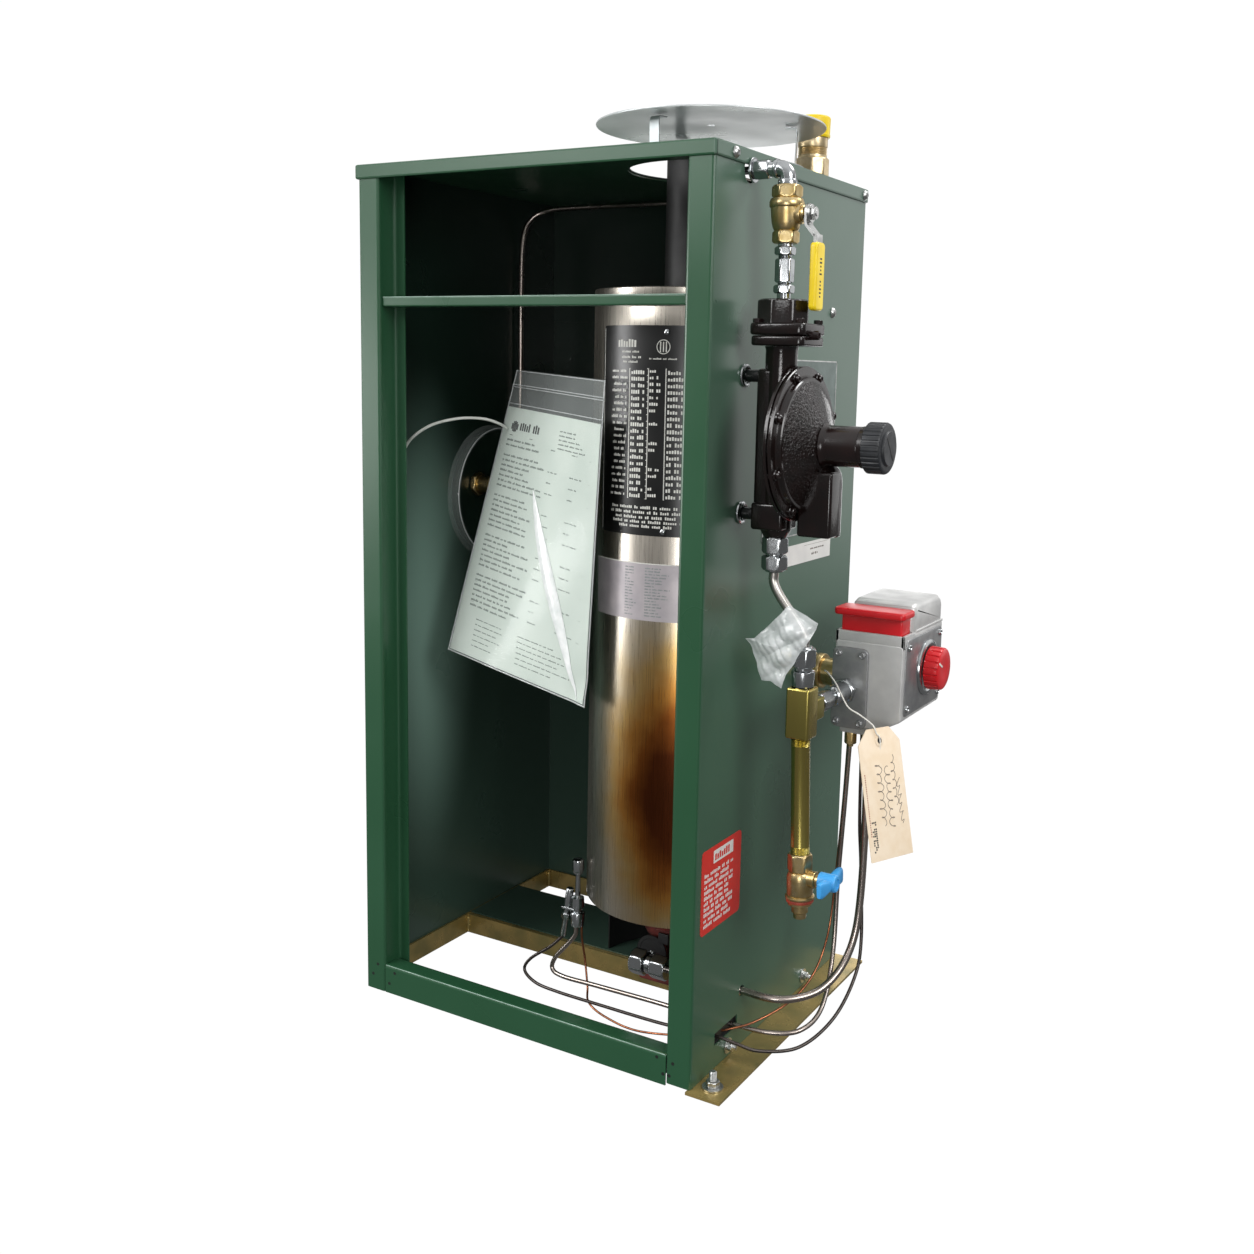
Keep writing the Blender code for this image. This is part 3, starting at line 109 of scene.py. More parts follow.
# A finish: two colours mixed in patches, a roughness that drifts, and a fine bump.
# patch and grain are in millimetres, so a noise texture's scale is 1000 / size.
def surfaceFinish(name, colour, second, patch, grain, smooth, rough, bump, metallic=0.0, stretch=(1, 1, 1),
                  share=0.5):
    tree, shader, place = newMaterial(name)
    shader.inputs["Metallic"].default_value = metallic
    place = addNode(tree, "ShaderNodeMapping", {"Scale": stretch}, {"Vector": place}).outputs["Vector"]
    patches = addNoise(tree, place, 1000 / patch, 4.0)
    ramp = addNode(tree, "ShaderNodeValToRGB", None, {"Fac": patches})
    for element, position, tone in zip(ramp.color_ramp.elements, (0.35, 0.65), (colour, second)):
        element.position = position
        element.color = linearColour(tone)
    drift = addRange(tree, patches, 0.3, 0.7, smooth, rough)
    finishSurface(tree, shader, ramp.outputs["Color"], drift.outputs["Result"],
                  addNoise(tree, place, 1000 / grain, 3.0), share, bump / 1000)


# Each finish: two colours, patch and grain, roughness from and to, depth of the bump in
# millimetres, and how metallic it is when it is
finishes = {
    # A painted highlight: the bright line along the round edge of a bend
    "paintedBendHighlight": ("#8fa99b", "#6f8c7c", 20, 1.0, 0.25, 0.35, 0.01),
    # Zinc plate with a yellow chromate passivate: gold drifting to olive and brown
    "zincYellowPassivate": ("#b39a5e", "#8d8150", 34, 0.9, 0.22, 0.36, 0.02, 0.6),
    # The same zinc weathered to a pale even grey
    "dullGalvanised": ("#c9cdcd", "#bfc3c4", 60, 1.0, 0.26, 0.34, 0.005, 0.25),
    # Hot-dip galvanised sheet, still bright
    "galvanisedSheet": ("#c4c9c9", "#b0b7b8", 45, 2.5, 0.3, 0.4, 0.01, 1.0),
    # Nickel-plated machined steel
    "brightNickelPlate": ("#b4b7b8", "#a6a9ab", 9, 0.5, 0.16, 0.24, 0.004, 1.0),
    # Drawn stainless tube, slightly blued by bending and heat
    "drawnTube": ("#b2a9a2", "#9a8f88", 60, 0.6, 0.2, 0.32, 0.01, 1.0),
    # The same tube left bright
    "brightTube": ("#c6c2bc", "#b0aca6", 26, 0.6, 0.22, 0.32, 0.01, 1.0),
    # Cast bronze, pale and dull
    "paleBronze": ("#dcc9a6", "#c9b48a", 9, 0.8, 0.3, 0.42, 0.04, 0.9),
    # Dull grey-white zinc-plated strap and screws
    "zincPlate": ("#c9cac8", "#a9aaa8", 7, 0.5, 0.26, 0.38, 0.02, 1.0),
    # Forged and tumbled brass, paler on the corners
    "forgedBrass": ("#cdb88a", "#b59c68", 8, 0.8, 0.26, 0.36, 0.05, 1.0),
    # Extruded bar and tube in bright yellow brass
    "drawnBrass": ("#b5a45c", "#a09650", 22, 0.7, 0.24, 0.34, 0.01, 1.0),
    # Iron casting in thick gloss brown enamel, with the sand's texture showing through
    "enamelledCasting": ("#170e0d", "#100b0a", 12, 2.4, 0.1, 0.2, 0.22),
    # The same enamel where it has run into a coarse skin
    "hammeredEnamel": ("#180f0e", "#110c0b", 12, 2.6, 0.1, 0.16, 1.4),
    "enamelSmooth": ("#1d1211", "#160e0d", 14, 1.2, 0.16, 0.26, 0.03),
    # Pressure die-cast zinc and aluminium, tumbled grey
    "dieCastGrey": ("#cbcbc9", "#bbbbba", 24, 0.7, 0.32, 0.42, 0.03, 0.35),
    "dieCastDark": ("#9c9d9d", "#8b8c8e", 14, 0.6, 0.34, 0.44, 0.02, 0.7),
    # Moulded ABS, glossy red
    "redAbs": ("#cf1d26", "#c2181f", 30, 0.5, 0.26, 0.34, 0.01),
    # Glass-filled nylon, matt black
    "blackNylon": ("#24262a", "#1b1d20", 12, 0.5, 0.42, 0.55, 0.02),
    # Dip-moulded vinyl sleeve
    "yellowVinyl": ("#ecd016", "#e0c00f", 25, 0.8, 0.3, 0.38, 0.02),
    "blueNylon": ("#3f9ad8", "#358ccb", 18, 0.5, 0.32, 0.42, 0.02),
    # Red-oxide primer on rough cast iron
    "redOxideIron": ("#6a231b", "#4c1813", 9, 1.2, 0.55, 0.75, 0.2),
    # High-temperature black paint, chalky; also the painted shade of holes and slots
    "stoveBlackAndShade": ("#141414", "#0e0e0f", 30, 0.8, 0.45, 0.6, 0.03),
    # Satin black over steel rod
    "satinBlack": ("#101213", "#0b0d0d", 40, 1.0, 0.16, 0.26, 0.01),
    # Capillary and pilot tube in soft copper
    "softCopper": ("#b87552", "#8d5a43", 12, 0.5, 0.24, 0.36, 0.01, 1.0),
    "darkSheath": ("#4a4542", "#423c39", 40, 0.5, 0.24, 0.36, 0.01, 0.8),
    # Manila card, unbleached
    "manilaCard": ("#e9d8c0", "#e3cfb3", 14, 0.5, 0.75, 0.85, 0.03),
    # Printed paper, seen green-white in the shade
    "bondPaper": ("#cbd5cc", "#bfcac1", 60, 0.6, 0.7, 0.8, 0.01),
    "labelWhite": ("#d9d8d4", "#cfcecb", 30, 0.5, 0.35, 0.45, 0.01),
    "labelSilver": ("#bdb6b8", "#aaa4a8", 24, 0.4, 0.32, 0.44, 0.01, 0.35),
    "labelRed": ("#c92f24", "#c0281f", 40, 0.5, 0.32, 0.42, 0.01),
    "labelBlack": ("#0c0d0d", "#080808", 40, 0.6, 0.28, 0.36, 0.01),
    "anodisedPlate": ("#6f7c78", "#66726e", 20, 0.4, 0.34, 0.42, 0.01, 0.6),
    # Printing inks and a pencil line, all dull
    "inkWhite": ("#d8d8d2", "#c8c8c0", 5, 0.5, 0.5, 0.6, 0.0),
    "inkBlack": ("#1c1d1d", "#262727", 5, 0.5, 0.5, 0.6, 0.0),
    "inkPrint": ("#4b5751", "#56635c", 12, 1.0, 0.6, 0.7, 0.0),
    "inkGrey": ("#6f7a78", "#86908d", 6, 0.5, 0.6, 0.7, 0.0),
    "inkPencil": ("#5a5450", "#7a726a", 4, 0.5, 0.6, 0.7, 0.0),
    "cottonString": ("#e6e4dd", "#d6d3cb", 3, 0.4, 0.8, 0.9, 0.15),
    "whiteNylon": ("#d4d6d0", "#c6c9c2", 12, 0.5, 0.32, 0.42, 0.01),
    "redFibre": ("#9a3a24", "#7f2d1d", 6, 0.5, 0.5, 0.6, 0.02),
}
made = {}
special = {"drawnBrass": {"stretch": (1, 1, 0.12)}, "hammeredEnamel": {"share": 1.0}}
for name, look in finishes.items():
    surfaceFinish(name, *look, **special.get(name, {}))
print("finishes", len(made))


# Powder-coated cabinet sheet. The same coat goes everywhere, but inside the cabinet it carries painted shade,
# made paler by painted light towards the foot, and a painted sheen turns the right wall's outside grey-green
# near its top.
# Each place is a box in Object coordinates: inside when the largest of |p - middle| / half is under 1.
# The right wall's painted sheen and the painted light at the foot each run over a range, then give what it
# becomes at that range's two ends.
paintAndLightLook = {"coat": ("#20462d", "#264f36"), "inside": ("#17271f", "#0d1a14"), "insideLow": "#35493f",
             "paintedSheenColour": "#566a5f", "portSheen": "#84a597", "low": (-0.2117, -0.1535, 0.002),
             "high": (0.2117, 0.179, 0.9123), "sheenSlope": (0.0, 1.6, 0.7), "paintedSheen": (-0.3, 0.9, 0.12, 0.9),
             "rightFace": 0.2121, "leftFace": -0.21, "lowLightRange": (0.05, 0.62, 1.0, 0.0),
             "portSheenMiddle": (0.0, -0.075, 0.4), "portSheenHalf": (0.9, 0.105, 0.33)}


def cabinetPaintAndLight(name, look):
    tree, shader, place = newMaterial(name)
    patches = addNoise(tree, place, 6.0, 4.0)
    low, high = np.array(look["low"]), np.array(look["high"])
    share = addSum(tree, "DIVIDE", addSum(tree, "SUBTRACT", place, (low + high) / 2), (high - low) / 2)
    away = addSum(tree, "ABSOLUTE", share)
    split = addNode(tree, "ShaderNodeSeparateXYZ", None, {"Vector": away}).outputs
    most = addNumber(tree, "MAXIMUM", addNumber(tree, "MAXIMUM", split["X"], split["Y"]), split["Z"])
    inside = addNumber(tree, "LESS_THAN", most, 1.0)
    own = addNode(tree, "ShaderNodeSeparateXYZ", None, {"Vector": place}).outputs

    def blend(factor, first, second):
        node = addNode(tree, "ShaderNodeMix", None, {0: factor}, data_type="RGBA")
        for socket, colour in ((6, first), (7, second)):
            if isinstance(colour, str):
                node.inputs[socket].default_value = linearColour(colour)
            else:
                tree.links.new(colour, node.inputs[socket])
        return node.outputs[2]

    # painted sheen: more towards the back and the top, and only on the outside of the right wall
    height = addRange(tree, addSum(tree, "DOT_PRODUCT", place, look["sheenSlope"]), *look["paintedSheen"])
    onRight = addNumber(tree, "GREATER_THAN", own["X"], look["rightFace"])
    paintedSheen = addNumber(tree, "MULTIPLY", height.outputs["Result"], onRight)
    coat = blend(paintedSheen, blend(patches, *look["coat"]), look["paintedSheenColour"])
    # painted shade inside the cabinet, made paler by painted light towards the foot
    lowPart = addRange(tree, own["Z"], *look["lowLightRange"])
    shade = blend(lowPart.outputs["Result"], blend(patches, *look["inside"]), look["insideLow"])
    # a painted sheen makes the left wall paler in a tall soft patch round the port
    onLeft = addNumber(tree, "LESS_THAN", own["X"], look["leftFace"])
    spread = addSum(tree, "DIVIDE", addSum(tree, "SUBTRACT", place, look["portSheenMiddle"]), look["portSheenHalf"])
    soft = addRange(tree, addSum(tree, "LENGTH", spread), 0.0, 1.0, 1.0, 0.0)
    soft.interpolation_type = "SMOOTHSTEP"
    portSheen = addNumber(tree, "MULTIPLY", soft.outputs["Result"], onLeft)
    shade = blend(portSheen, shade, look["portSheen"])
    gloss = addRange(tree, patches, 0.3, 0.7, 0.26, 0.34)
    finishSurface(tree, shader, blend(inside, coat, shade), gloss.outputs["Result"],
                  addNoise(tree, place, 620.0, 2.0), 0.5, 0.00002)


cabinetPaintAndLight("powderCoatWithPaintedLight", paintAndLightLook)
# the upper back panel stands further in, so its box of painted shade ends sooner
upperLow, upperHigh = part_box("back_panel_upper")
paintAndLightLook["high"] = (0.2117, (upperLow[1] + upperHigh[1]) / 2, 0.9123)
cabinetPaintAndLight("powderCoatUpperWithPaintedLight", paintAndLightLook)


# Brushed stainless sheet: fine vertical scratches, with a heat stain that runs from straw
# to deep brown around one point. The stain is an ellipse in X and Z.
tankLook = {"stainX": 0.142, "stainZ": 0.272, "halfWidth": 0.104, "halfHeight": 0.205,
            "bands": [(0.0, "#4c2715"), (0.24, "#5a2d17"), (0.4, "#8a5022"), (0.54, "#b07a3a"),
                      (0.68, "#b8975f"), (0.84, "#b8aa90"), (1.0, "#bfb8ad")]}


def stainlessTank(look):
    tree, shader, place = newMaterial("brushedStainless")
    shader.inputs["Metallic"].default_value = 1.0
    brushed = addNode(tree, "ShaderNodeMapping", {"Scale": (1, 1, 0.02)},
                      {"Vector": place}).outputs["Vector"]
    scratches = addNoise(tree, brushed, 1100.0, 3.0)
    # distance from the stain's middle, in half-widths and half-heights, wobbled by noise
    wide, tall = 1 / look["halfWidth"], 1 / look["halfHeight"]
    shifted = addNode(tree, "ShaderNodeMapping", {"Location": (-look["stainX"] * wide, 0, -look["stainZ"] * tall),
                                                  "Scale": (wide, 0, tall)}, {"Vector": place})
    away = addSum(tree, "LENGTH", shifted.outputs["Vector"])
    wobble = addNumber(tree, "MULTIPLY_ADD", addNoise(tree, place, 22.0, 3.0), 0.3, -0.15)
    ramp = addNode(tree, "ShaderNodeValToRGB", None, {"Fac": addNumber(tree, "ADD", away, wobble)})
    while len(ramp.color_ramp.elements) < len(look["bands"]):
        ramp.color_ramp.elements.new(0.5)
    for element, (position, colour) in zip(ramp.color_ramp.elements, look["bands"]):
        element.position = position
        element.color = linearColour(colour)
    streaks = addRange(tree, scratches, 0.3, 0.7, 0.95, 1.02)
    tinted = addSum(tree, "MULTIPLY", ramp.outputs["Color"], streaks.outputs["Result"])
    rough = addRange(tree, scratches, 0.3, 0.7, 0.26, 0.33)
    finishSurface(tree, shader, tinted, rough.outputs["Result"], scratches, 0.06, 0.00001)


stainlessTank(tankLook)

# Clear and milky plastics, each (colour, alpha, roughness, size of its waves in mm, their depth in mm):
# a thin film that lets most of the light by, with a glossy face
filmLooks = {"clearPolythene": ("#dfe6e4", 0.07, 0.12, 30, 0.8),
             # milky film; also the painted highlight on the port's clear rim
             "milkyFilmAndHighlight": ("#f6f7f9", 0.5, 0.1, 8, 1.6),
             # painted highlight: white film for the bright streak along the pouch's fold
             "paintedFoldHighlight": ("#ffffff", 0.95, 0.18, 9, 0.3),
             "clearPvc": ("#a9b5b0", 0.12, 0.08, 40, 0.1)}
for name, (colour, alpha, rough, wave, depth) in filmLooks.items():
    tree, shader, place = newMaterial(name)
    for socket, value in (("Roughness", rough), ("Specular IOR Level", 0.8), ("Alpha", alpha)):
        shader.inputs[socket].default_value = value
    waves = addNoise(tree, place, 1000 / wave, 2.0)
    tone = addNode(tree, "ShaderNodeValToRGB", None, {"Fac": waves})
    tone.color_ramp.elements[0].color = linearColour("#c8d0cd")
    tone.color_ramp.elements[1].color = linearColour(colour)
    finishSurface(tree, shader, tone.outputs["Color"], None, waves, 0.6, depth / 1000)


# Shells: closed surfaces worked out as whole arrays

# Quads between neighbouring points of a rows x columns grid
def gridFaces(rows, columns, wrap):
    row = np.arange(rows - 1)[:, None]
    column = np.arange(columns if wrap else columns - 1)[None, :]
    after = (column + 1) % columns
    quads = [row * columns + column, row * columns + after, (row + 1) * columns + after,
             (row + 1) * columns + column]
    return np.stack(np.broadcast_arrays(*quads), -1).reshape(-1, 4).tolist()


def outward(points, faces):             # turned round when the signed volume is negative
    volume = 0.0
    for size in {len(face) for face in faces}:
        ring = points[np.array([face for face in faces if len(face) == size])]
        for step in range(1, size - 1):
            volume += np.einsum("ij,ij->i", ring[:, 0], np.cross(ring[:, step], ring[:, step + 1])).sum()
    return points, faces if volume > 0 else [face[::-1] for face in faces]


def tubeShell(grid):                    # a grid of rings, its columns joined round and both ends closed
    rows, columns = grid.shape[:2]
    faces = gridFaces(rows, columns, True)
    faces += [list(range(columns))[::-1], [(rows - 1) * columns + i for i in range(columns)]]
    return outward(grid.reshape(-1, 3), faces)


def slabShell(front, back):             # two grids of the same size, joined along their four edges
    rows, columns = front.shape[:2]
    count = rows * columns
    faces = [face[::-1] for face in gridFaces(rows, columns, False)]
    faces += [[i + count for i in face] for face in gridFaces(rows, columns, False)]
    rim = [i for i in range(columns)] + [r * columns + columns - 1 for r in range(1, rows)]
    rim += [(rows - 1) * columns + i for i in range(columns - 2, -1, -1)]
    rim += [r * columns for r in range(rows - 2, 0, -1)]
    faces += [[a, b, b + count, a + count] for a, b in zip(rim, rim[1:] + rim[:1])]
    return outward(np.concatenate([front.reshape(-1, 3), back.reshape(-1, 3)]), faces)


axes = {"X": ((1, 0, 0), (0, 1, 0), (0, 0, 1)), "Y": ((0, 1, 0), (1, 0, 0), (0, 0, 1)),
        "Z": ((0, 0, 1), (1, 0, 0), (0, 1, 0)), "-Z": ((0, 0, -1), (1, 0, 0), (0, 1, 0))}


# A turned bar. Its rows are (distance along the axis, diameter), with a width across flats and a number
# of corners where it is a nut. radius(angle, along) = the smaller of the round profile and the distance
# to a flat, flats / 2 / cos(angle from the nearest flat's middle)
def barShell(rows, at, axis="Z", sides=72, spin=0.0, ripple=None):
    forward, across, up = [np.array(v, float) for v in (axes[axis] if isinstance(axis, str) else axis)]
    angle = 2 * np.pi * np.arange(sides) / sides
    rows = np.array([tuple(row) + (0,) * (4 - len(row)) for row in rows], float)
    along, size, flats, corners = rows.T
    radius = np.repeat(size[:, None] / 2, sides, 1)
    share = 2 * np.pi / np.maximum(corners, 3)
    bent = (angle[None, :] + spin + share[:, None] / 2) % share[:, None] - share[:, None] / 2
    flat = np.where(corners[:, None] > 0, flats[:, None] / 2 / np.cos(bent), 1.0)
    radius = np.minimum(radius, flat)
    if ripple:                          # (ribs round, depth, from, to): grooves cut between ribs
        count, depth, start, end = ripple
        groove = depth * (np.cos(count * angle) < -0.6)
        radius = radius - np.where(((along >= start) & (along <= end))[:, None], groove[None, :], 0)
    grid = (np.array(at) + along[:, None, None] * forward
            + (radius * np.cos(angle))[..., None] * across + (radius * np.sin(angle))[..., None] * up)
    return tubeShell(grid)


def nutRows(start, end, flats, corners=6):      # a nut's rows: the round profile cuts arcs on its corners
    widest = flats / math.cos(math.pi / corners)
    chamfer = (widest - flats * 0.97) * 0.45
    steps = np.linspace(0, 1, 4)
    sizes = flats * 0.97 + (widest * 1.001 - flats * 0.97) * steps
    first = [(start + chamfer * s, d, flats, corners) for s, d in zip(steps, sizes)]
    return first + [(end - chamfer * s, d, flats, corners) for s, d in zip(steps[::-1], sizes[::-1])]


def threadRows(start, end, diameter, pitch):    # rings between the thread's outer and root diameters
    count = max(1, int(round(abs(end - start) / pitch)))
    places = np.linspace(start, end, 2 * count + 1)
    return [(p, diameter - (pitch * 1.1 if i % 2 else 0)) for i, p in enumerate(places)]


# A casting or block: rounded rectangles stacked along one axis.
# layer = (level, low a, high a, low b, high b, corner radius)
def loftShell(layers, axis="Z", steps=6):
    turn = np.linspace(0, np.pi / 2, steps)
    arcs = np.concatenate([turn + quarter * np.pi / 2 for quarter in range(4)])
    signA = np.repeat([1, -1, -1, 1], steps)
    signB = np.repeat([1, 1, -1, -1], steps)
    layers = np.array(layers, float)
    level, lowA, highA, lowB, highB, corner = [layers[:, i][:, None] for i in range(6)]
    a = np.where(signA > 0, highA - corner, lowA + corner) + corner * np.cos(arcs)
    b = np.where(signB > 0, highB - corner, lowB + corner) + corner * np.sin(arcs)
    flatLevel = np.broadcast_to(level, a.shape)
    order = {"Z": (a, b, flatLevel), "X": (flatLevel, a, b), "Y": (a, flatLevel, b)}[axis]
    return tubeShell(np.stack(order, -1))


# A block with all its edges rounded: the first and last layers shrink along a quarter circle
def blockShell(low, high, radius, axis="Z", corner=None, steps=4):
    pick = {"Z": (2, 0, 1), "X": (0, 1, 2), "Y": (1, 0, 2)}[axis]
    (start, a0, b0), (end, a1, b1) = [[v[i] for i in pick] for v in (low, high)]
    corner = corner or radius
    layers = []
    for turn in np.linspace(0, np.pi / 2, steps + 1):
        shrink = radius * (1 - math.sin(turn))
        layers.append((start + radius * (1 - math.cos(turn)), a0 + shrink, a1 - shrink, b0 + shrink,
                       b1 - shrink, max(corner - shrink, 0.0001)))
    layers += [(start + end - layer[0],) + layer[1:] for layer in layers[::-1]]
    return loftShell(layers, axis)


def smoothRoute(points, spacing):       # Catmull-Rom: half of (2b + (c-a)t + (2a-5b+4c-d)t^2 + (3b-a-3c+d)t^3)
    knots = np.array(points, float)
    knots = np.vstack([2 * knots[0] - knots[1], knots, 2 * knots[-1] - knots[-2]])
    route = []
    for a, b, c, d in zip(knots, knots[1:], knots[2:], knots[3:]):
        t = np.arange(max(1, round(np.linalg.norm(c - b) / spacing)))[:, None]
        t = t / len(t)
        square, cube = 2 * a - 5 * b + 4 * c - d, 3 * b - a - 3 * c + d
        route.append((2 * b + (c - a) * t + square * t ** 2 + cube * t ** 3) / 2)
    return np.vstack(route + [knots[-2:-1]])


# At each point of a route, two directions square to it, turned as little as can be
def routeFrames(route):
    ahead = np.gradient(route, axis=0)
    ahead /= np.linalg.norm(ahead, axis=1)[:, None]
    side = np.cross(ahead[0], [0.31, 0.17, 0.94])
    sides = []
    for direction in ahead:
        side = side - direction * (side @ direction)
        side /= np.linalg.norm(side)
        sides.append(side)
    sides = np.array(sides)
    return ahead, sides, np.cross(ahead, sides)


def pipeShell(route, diameter, sides=20):       # point = route + r (cos side + sin other)
    _, side, other = routeFrames(route)
    angle = 2 * np.pi * np.arange(sides) / sides
    radius = np.broadcast_to(np.asarray(diameter, float) / 2, (len(route),))[:, None, None]
    ring = np.cos(angle)[None, :, None] * side[:, None] + np.sin(angle)[None, :, None] * other[:, None]
    return tubeShell(route[:, None] + radius * ring)


# A closed profile of (radius, along) carried round the axis
def turnedRing(profile, at, axis="Z", sides=128):
    forward, across, up = [np.array(v, float) for v in axes[axis]]
    profile = np.array(profile, float)
    angle = 2 * np.pi * np.arange(sides) / sides
    radial = np.cos(angle)[:, None] * across + np.sin(angle)[:, None] * up
    size, along = profile.T[:, :, None, None]
    grid = np.array(at) + along * forward + size * radial[None]
    closed = np.concatenate([grid, grid[:1]])
    rows = len(profile)
    faces = [[i % (rows * sides) for i in face] for face in gridFaces(rows + 1, sides, True)]
    return outward(closed[:-1].reshape(-1, 3), faces)


def movedShell(shell, matrix):
    points, faces = shell
    return points @ np.array(matrix)[:3, :3].T + np.array(matrix)[:3, 3], faces


# The slot each finish usually fills: a piece names one only when its own differs
usualSlot = {"zincPlate": "bright_plated_steel", "stoveBlackAndShade": "black_steel", "yellowVinyl": "yellow_vinyl",
             "brushedStainless": "stainless_steel", "brightNickelPlate": "bright_plated_steel",
             "milkyFilmAndHighlight": "clear_film", "forgedBrass": "brass",
             "enamelledCasting": "dark_brown_casting", "enamelSmooth": "dark_brown_casting",
             "drawnBrass": "brass", "dieCastDark": "grey_die_casting", "redAbs": "red_plastic",
             "inkWhite": "black_steel", "labelRed": "red_plastic", "manilaCard": "manila_card"}


def putPiece(name, shells, finish, replaced=(), body="heater", slot=None, sharp=34):
    points, faces, start = [], [], 0
    for shellPoints, shellFaces in shells:
        points.append(shellPoints)
        faces += [[i + start for i in face] for face in shellFaces]
        start += len(shellPoints)
    mesh = bpy.data.meshes.new(name)
    mesh.from_pydata(np.vstack(points).tolist(), [], faces)
    mesh.shade_smooth()
    mesh.set_sharp_from_angle(angle=math.radians(sharp))
    mesh.materials.append(made[finish])
    piece = bpy.data.objects.new(name, mesh)
    bpy.context.scene.collection.objects.link(piece)
    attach(piece, body)
    slot or usualSlot[finish]
    if replaced:
        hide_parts(*replaced)
    return piece


# Sheet metal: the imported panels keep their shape

painted = ["side_panel_left", "side_panel_right", "back_panel_lower", "back_panel_upper", "front_sill",
           "crossbar", "roof_panel", "floor_plate"]
for name in painted:
    nodes[name].material_slots[0].material = made["powderCoatWithPaintedLight"]
nodes["back_panel_upper"].material_slots[0].material = made["powderCoatUpperWithPaintedLight"]
nodes["base_frame"].material_slots[0].material = made["zincYellowPassivate"]

wallLow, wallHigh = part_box("side_panel_right")
rightWall = wallHigh[0]
front = wallLow[1]
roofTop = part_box("roof_panel")[1][2]
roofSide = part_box("roof_panel")[1][0]
trainX, trainY = centre("inlet_coupling")[:2]

# pan heads and bolts face +X
panRows = [(0.0, 0.011), (0.0006, 0.0112), (0.0014, 0.0104), (0.0028, 0.008), (0.0036, 0.0052),
           (0.0038, 0.003), (0.003, 0.0028)]
boltRows = ([(0.0, 0.0165), (0.0012, 0.0165), (0.0014, 0.0125), (0.0016, 0.0125)]
            + nutRows(0.0017, 0.0066, 0.0098) + [(0.0067, 0.0062)]
            + threadRows(0.0068, 0.0105, 0.006, 0.0009) + [(0.0108, 0.0045)])
screws = [barShell(panRows, (roofSide, front + 0.035, 0.9065), "X", 32),
          barShell(panRows, (roofSide, front + 0.3505, 0.9065), "X", 32),
          barShell(panRows, (rightWall, front + 0.278, 0.774), "X", 32)]
bolts = [barShell(boltRows, (rightWall, front + 0.08, 0.015), "X", 48, 0.3),
         barShell(boltRows, (rightWall, front + 0.269, 0.015), "X", 48, 0.1)]
putPiece("wall_screws", screws + bolts, "zincPlate")

studAt = centre("anchor_stud")
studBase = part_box("anchor_stud")[0][2]
studRows = ([(0.0, 0.0215), (0.0014, 0.0215), (0.0016, 0.015)] + nutRows(0.0017, 0.0078, 0.0127)
            + threadRows(0.0079, 0.0165, 0.0078, 0.00125) + [(0.0176, 0.0056)])
putPiece("anchor_stud_threaded", [barShell(studRows, (studAt[0], studAt[1], studBase), "Z", 48, 0.2)],
         "zincPlate", ["anchor_stud"])

# small punched holes near the foot of the front, each a dark disc just proud of the paint: painted shade in the
# hole
holeRows = [(0.0, 0.0036), (0.00012, 0.0036), (0.00012, 0.003), (0.00002, 0.003)]
holePlaces = [(-0.1955, 0.031), (-0.2025, 0.018), (-0.1705, 0.026), (-0.1785, 0.012), (0.174, 0.028),
              (0.1815, 0.012), (0.1925, 0.026), (0.1885, 0.012)]
backwards = ((0, -1, 0), (1, 0, 0), (0, 0, 1))
putPiece("punched_holes", [barShell(holeRows, (x, front, z), backwards, 24) for x, z in holePlaces],
         "stoveBlackAndShade", slot="green_powder_coat")

# painted highlights: bright lines along the bends of the sill and the crossbar
sillBox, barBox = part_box("front_sill"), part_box("crossbar")
bends = []
for (low, high), y, z in ((sillBox, sillBox[0][1] + 0.0008, sillBox[1][2] - 0.0006),
                          (barBox, barBox[0][1] + 0.0004, barBox[1][2] - 0.0002)):
    line = [(x, y, z) for x in np.linspace(low[0] + 0.001, high[0] - 0.001, 12)]
    bends.append(pipeShell(np.array(line), 0.0011, 8))
# painted shade: a dark block and lip behind the slot that the tubes pass through
slotShade = blockShell((0.208, front + 0.046, 0.025), (0.2092, front + 0.106, 0.045), 0.0005)
slotLip = blockShell((0.2088, front + 0.049, 0.0272), (0.21, front + 0.101, 0.0282), 0.0004)
putPiece("slot_painted_shade", [slotShade, slotLip], "stoveBlackAndShade")
putPiece("painted_bend_highlights", bends, "paintedBendHighlight", sharp=80, slot="green_powder_coat")
# joint in the roof's turned-down flange at the front right corner
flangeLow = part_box("roof_panel")[0][2]
seam = blockShell((roofSide - 0.0004, front - 0.0005, flangeLow + 0.0004),
                  (roofSide + 0.0001, front + 0.0003, roofTop - 0.0018), 0.0001)
putPiece("roof_corner_seam", [seam], "stoveBlackAndShade", slot="green_powder_coat")

# weld beads where the cross rail meets the left rail
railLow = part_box("base_frame")[0]
crossY = front + 0.178
beads = []
for x, y in ((railLow[0] + 0.0042, crossY), (railLow[0] + 0.0042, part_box("side_panel_right")[1][1] - 0.0065)):
    height = np.linspace(0.003, 0.0225, 14)
    wander = 0.0005 * np.sin(np.arange(14) * 2.1)
    beadRoute = np.stack([x + wander, y + wander * 0.6 - 0.0005, height], -1)
    beads.append(pipeShell(beadRoute, 0.0046 + 0.0006 * np.cos(np.arange(14) * 2.9), 12))
putPiece("weld_beads", beads, "zincYellowPassivate", slot="yellow_zinc")
print("sheet metal")


# Roof: rain cap, straps, relief valve

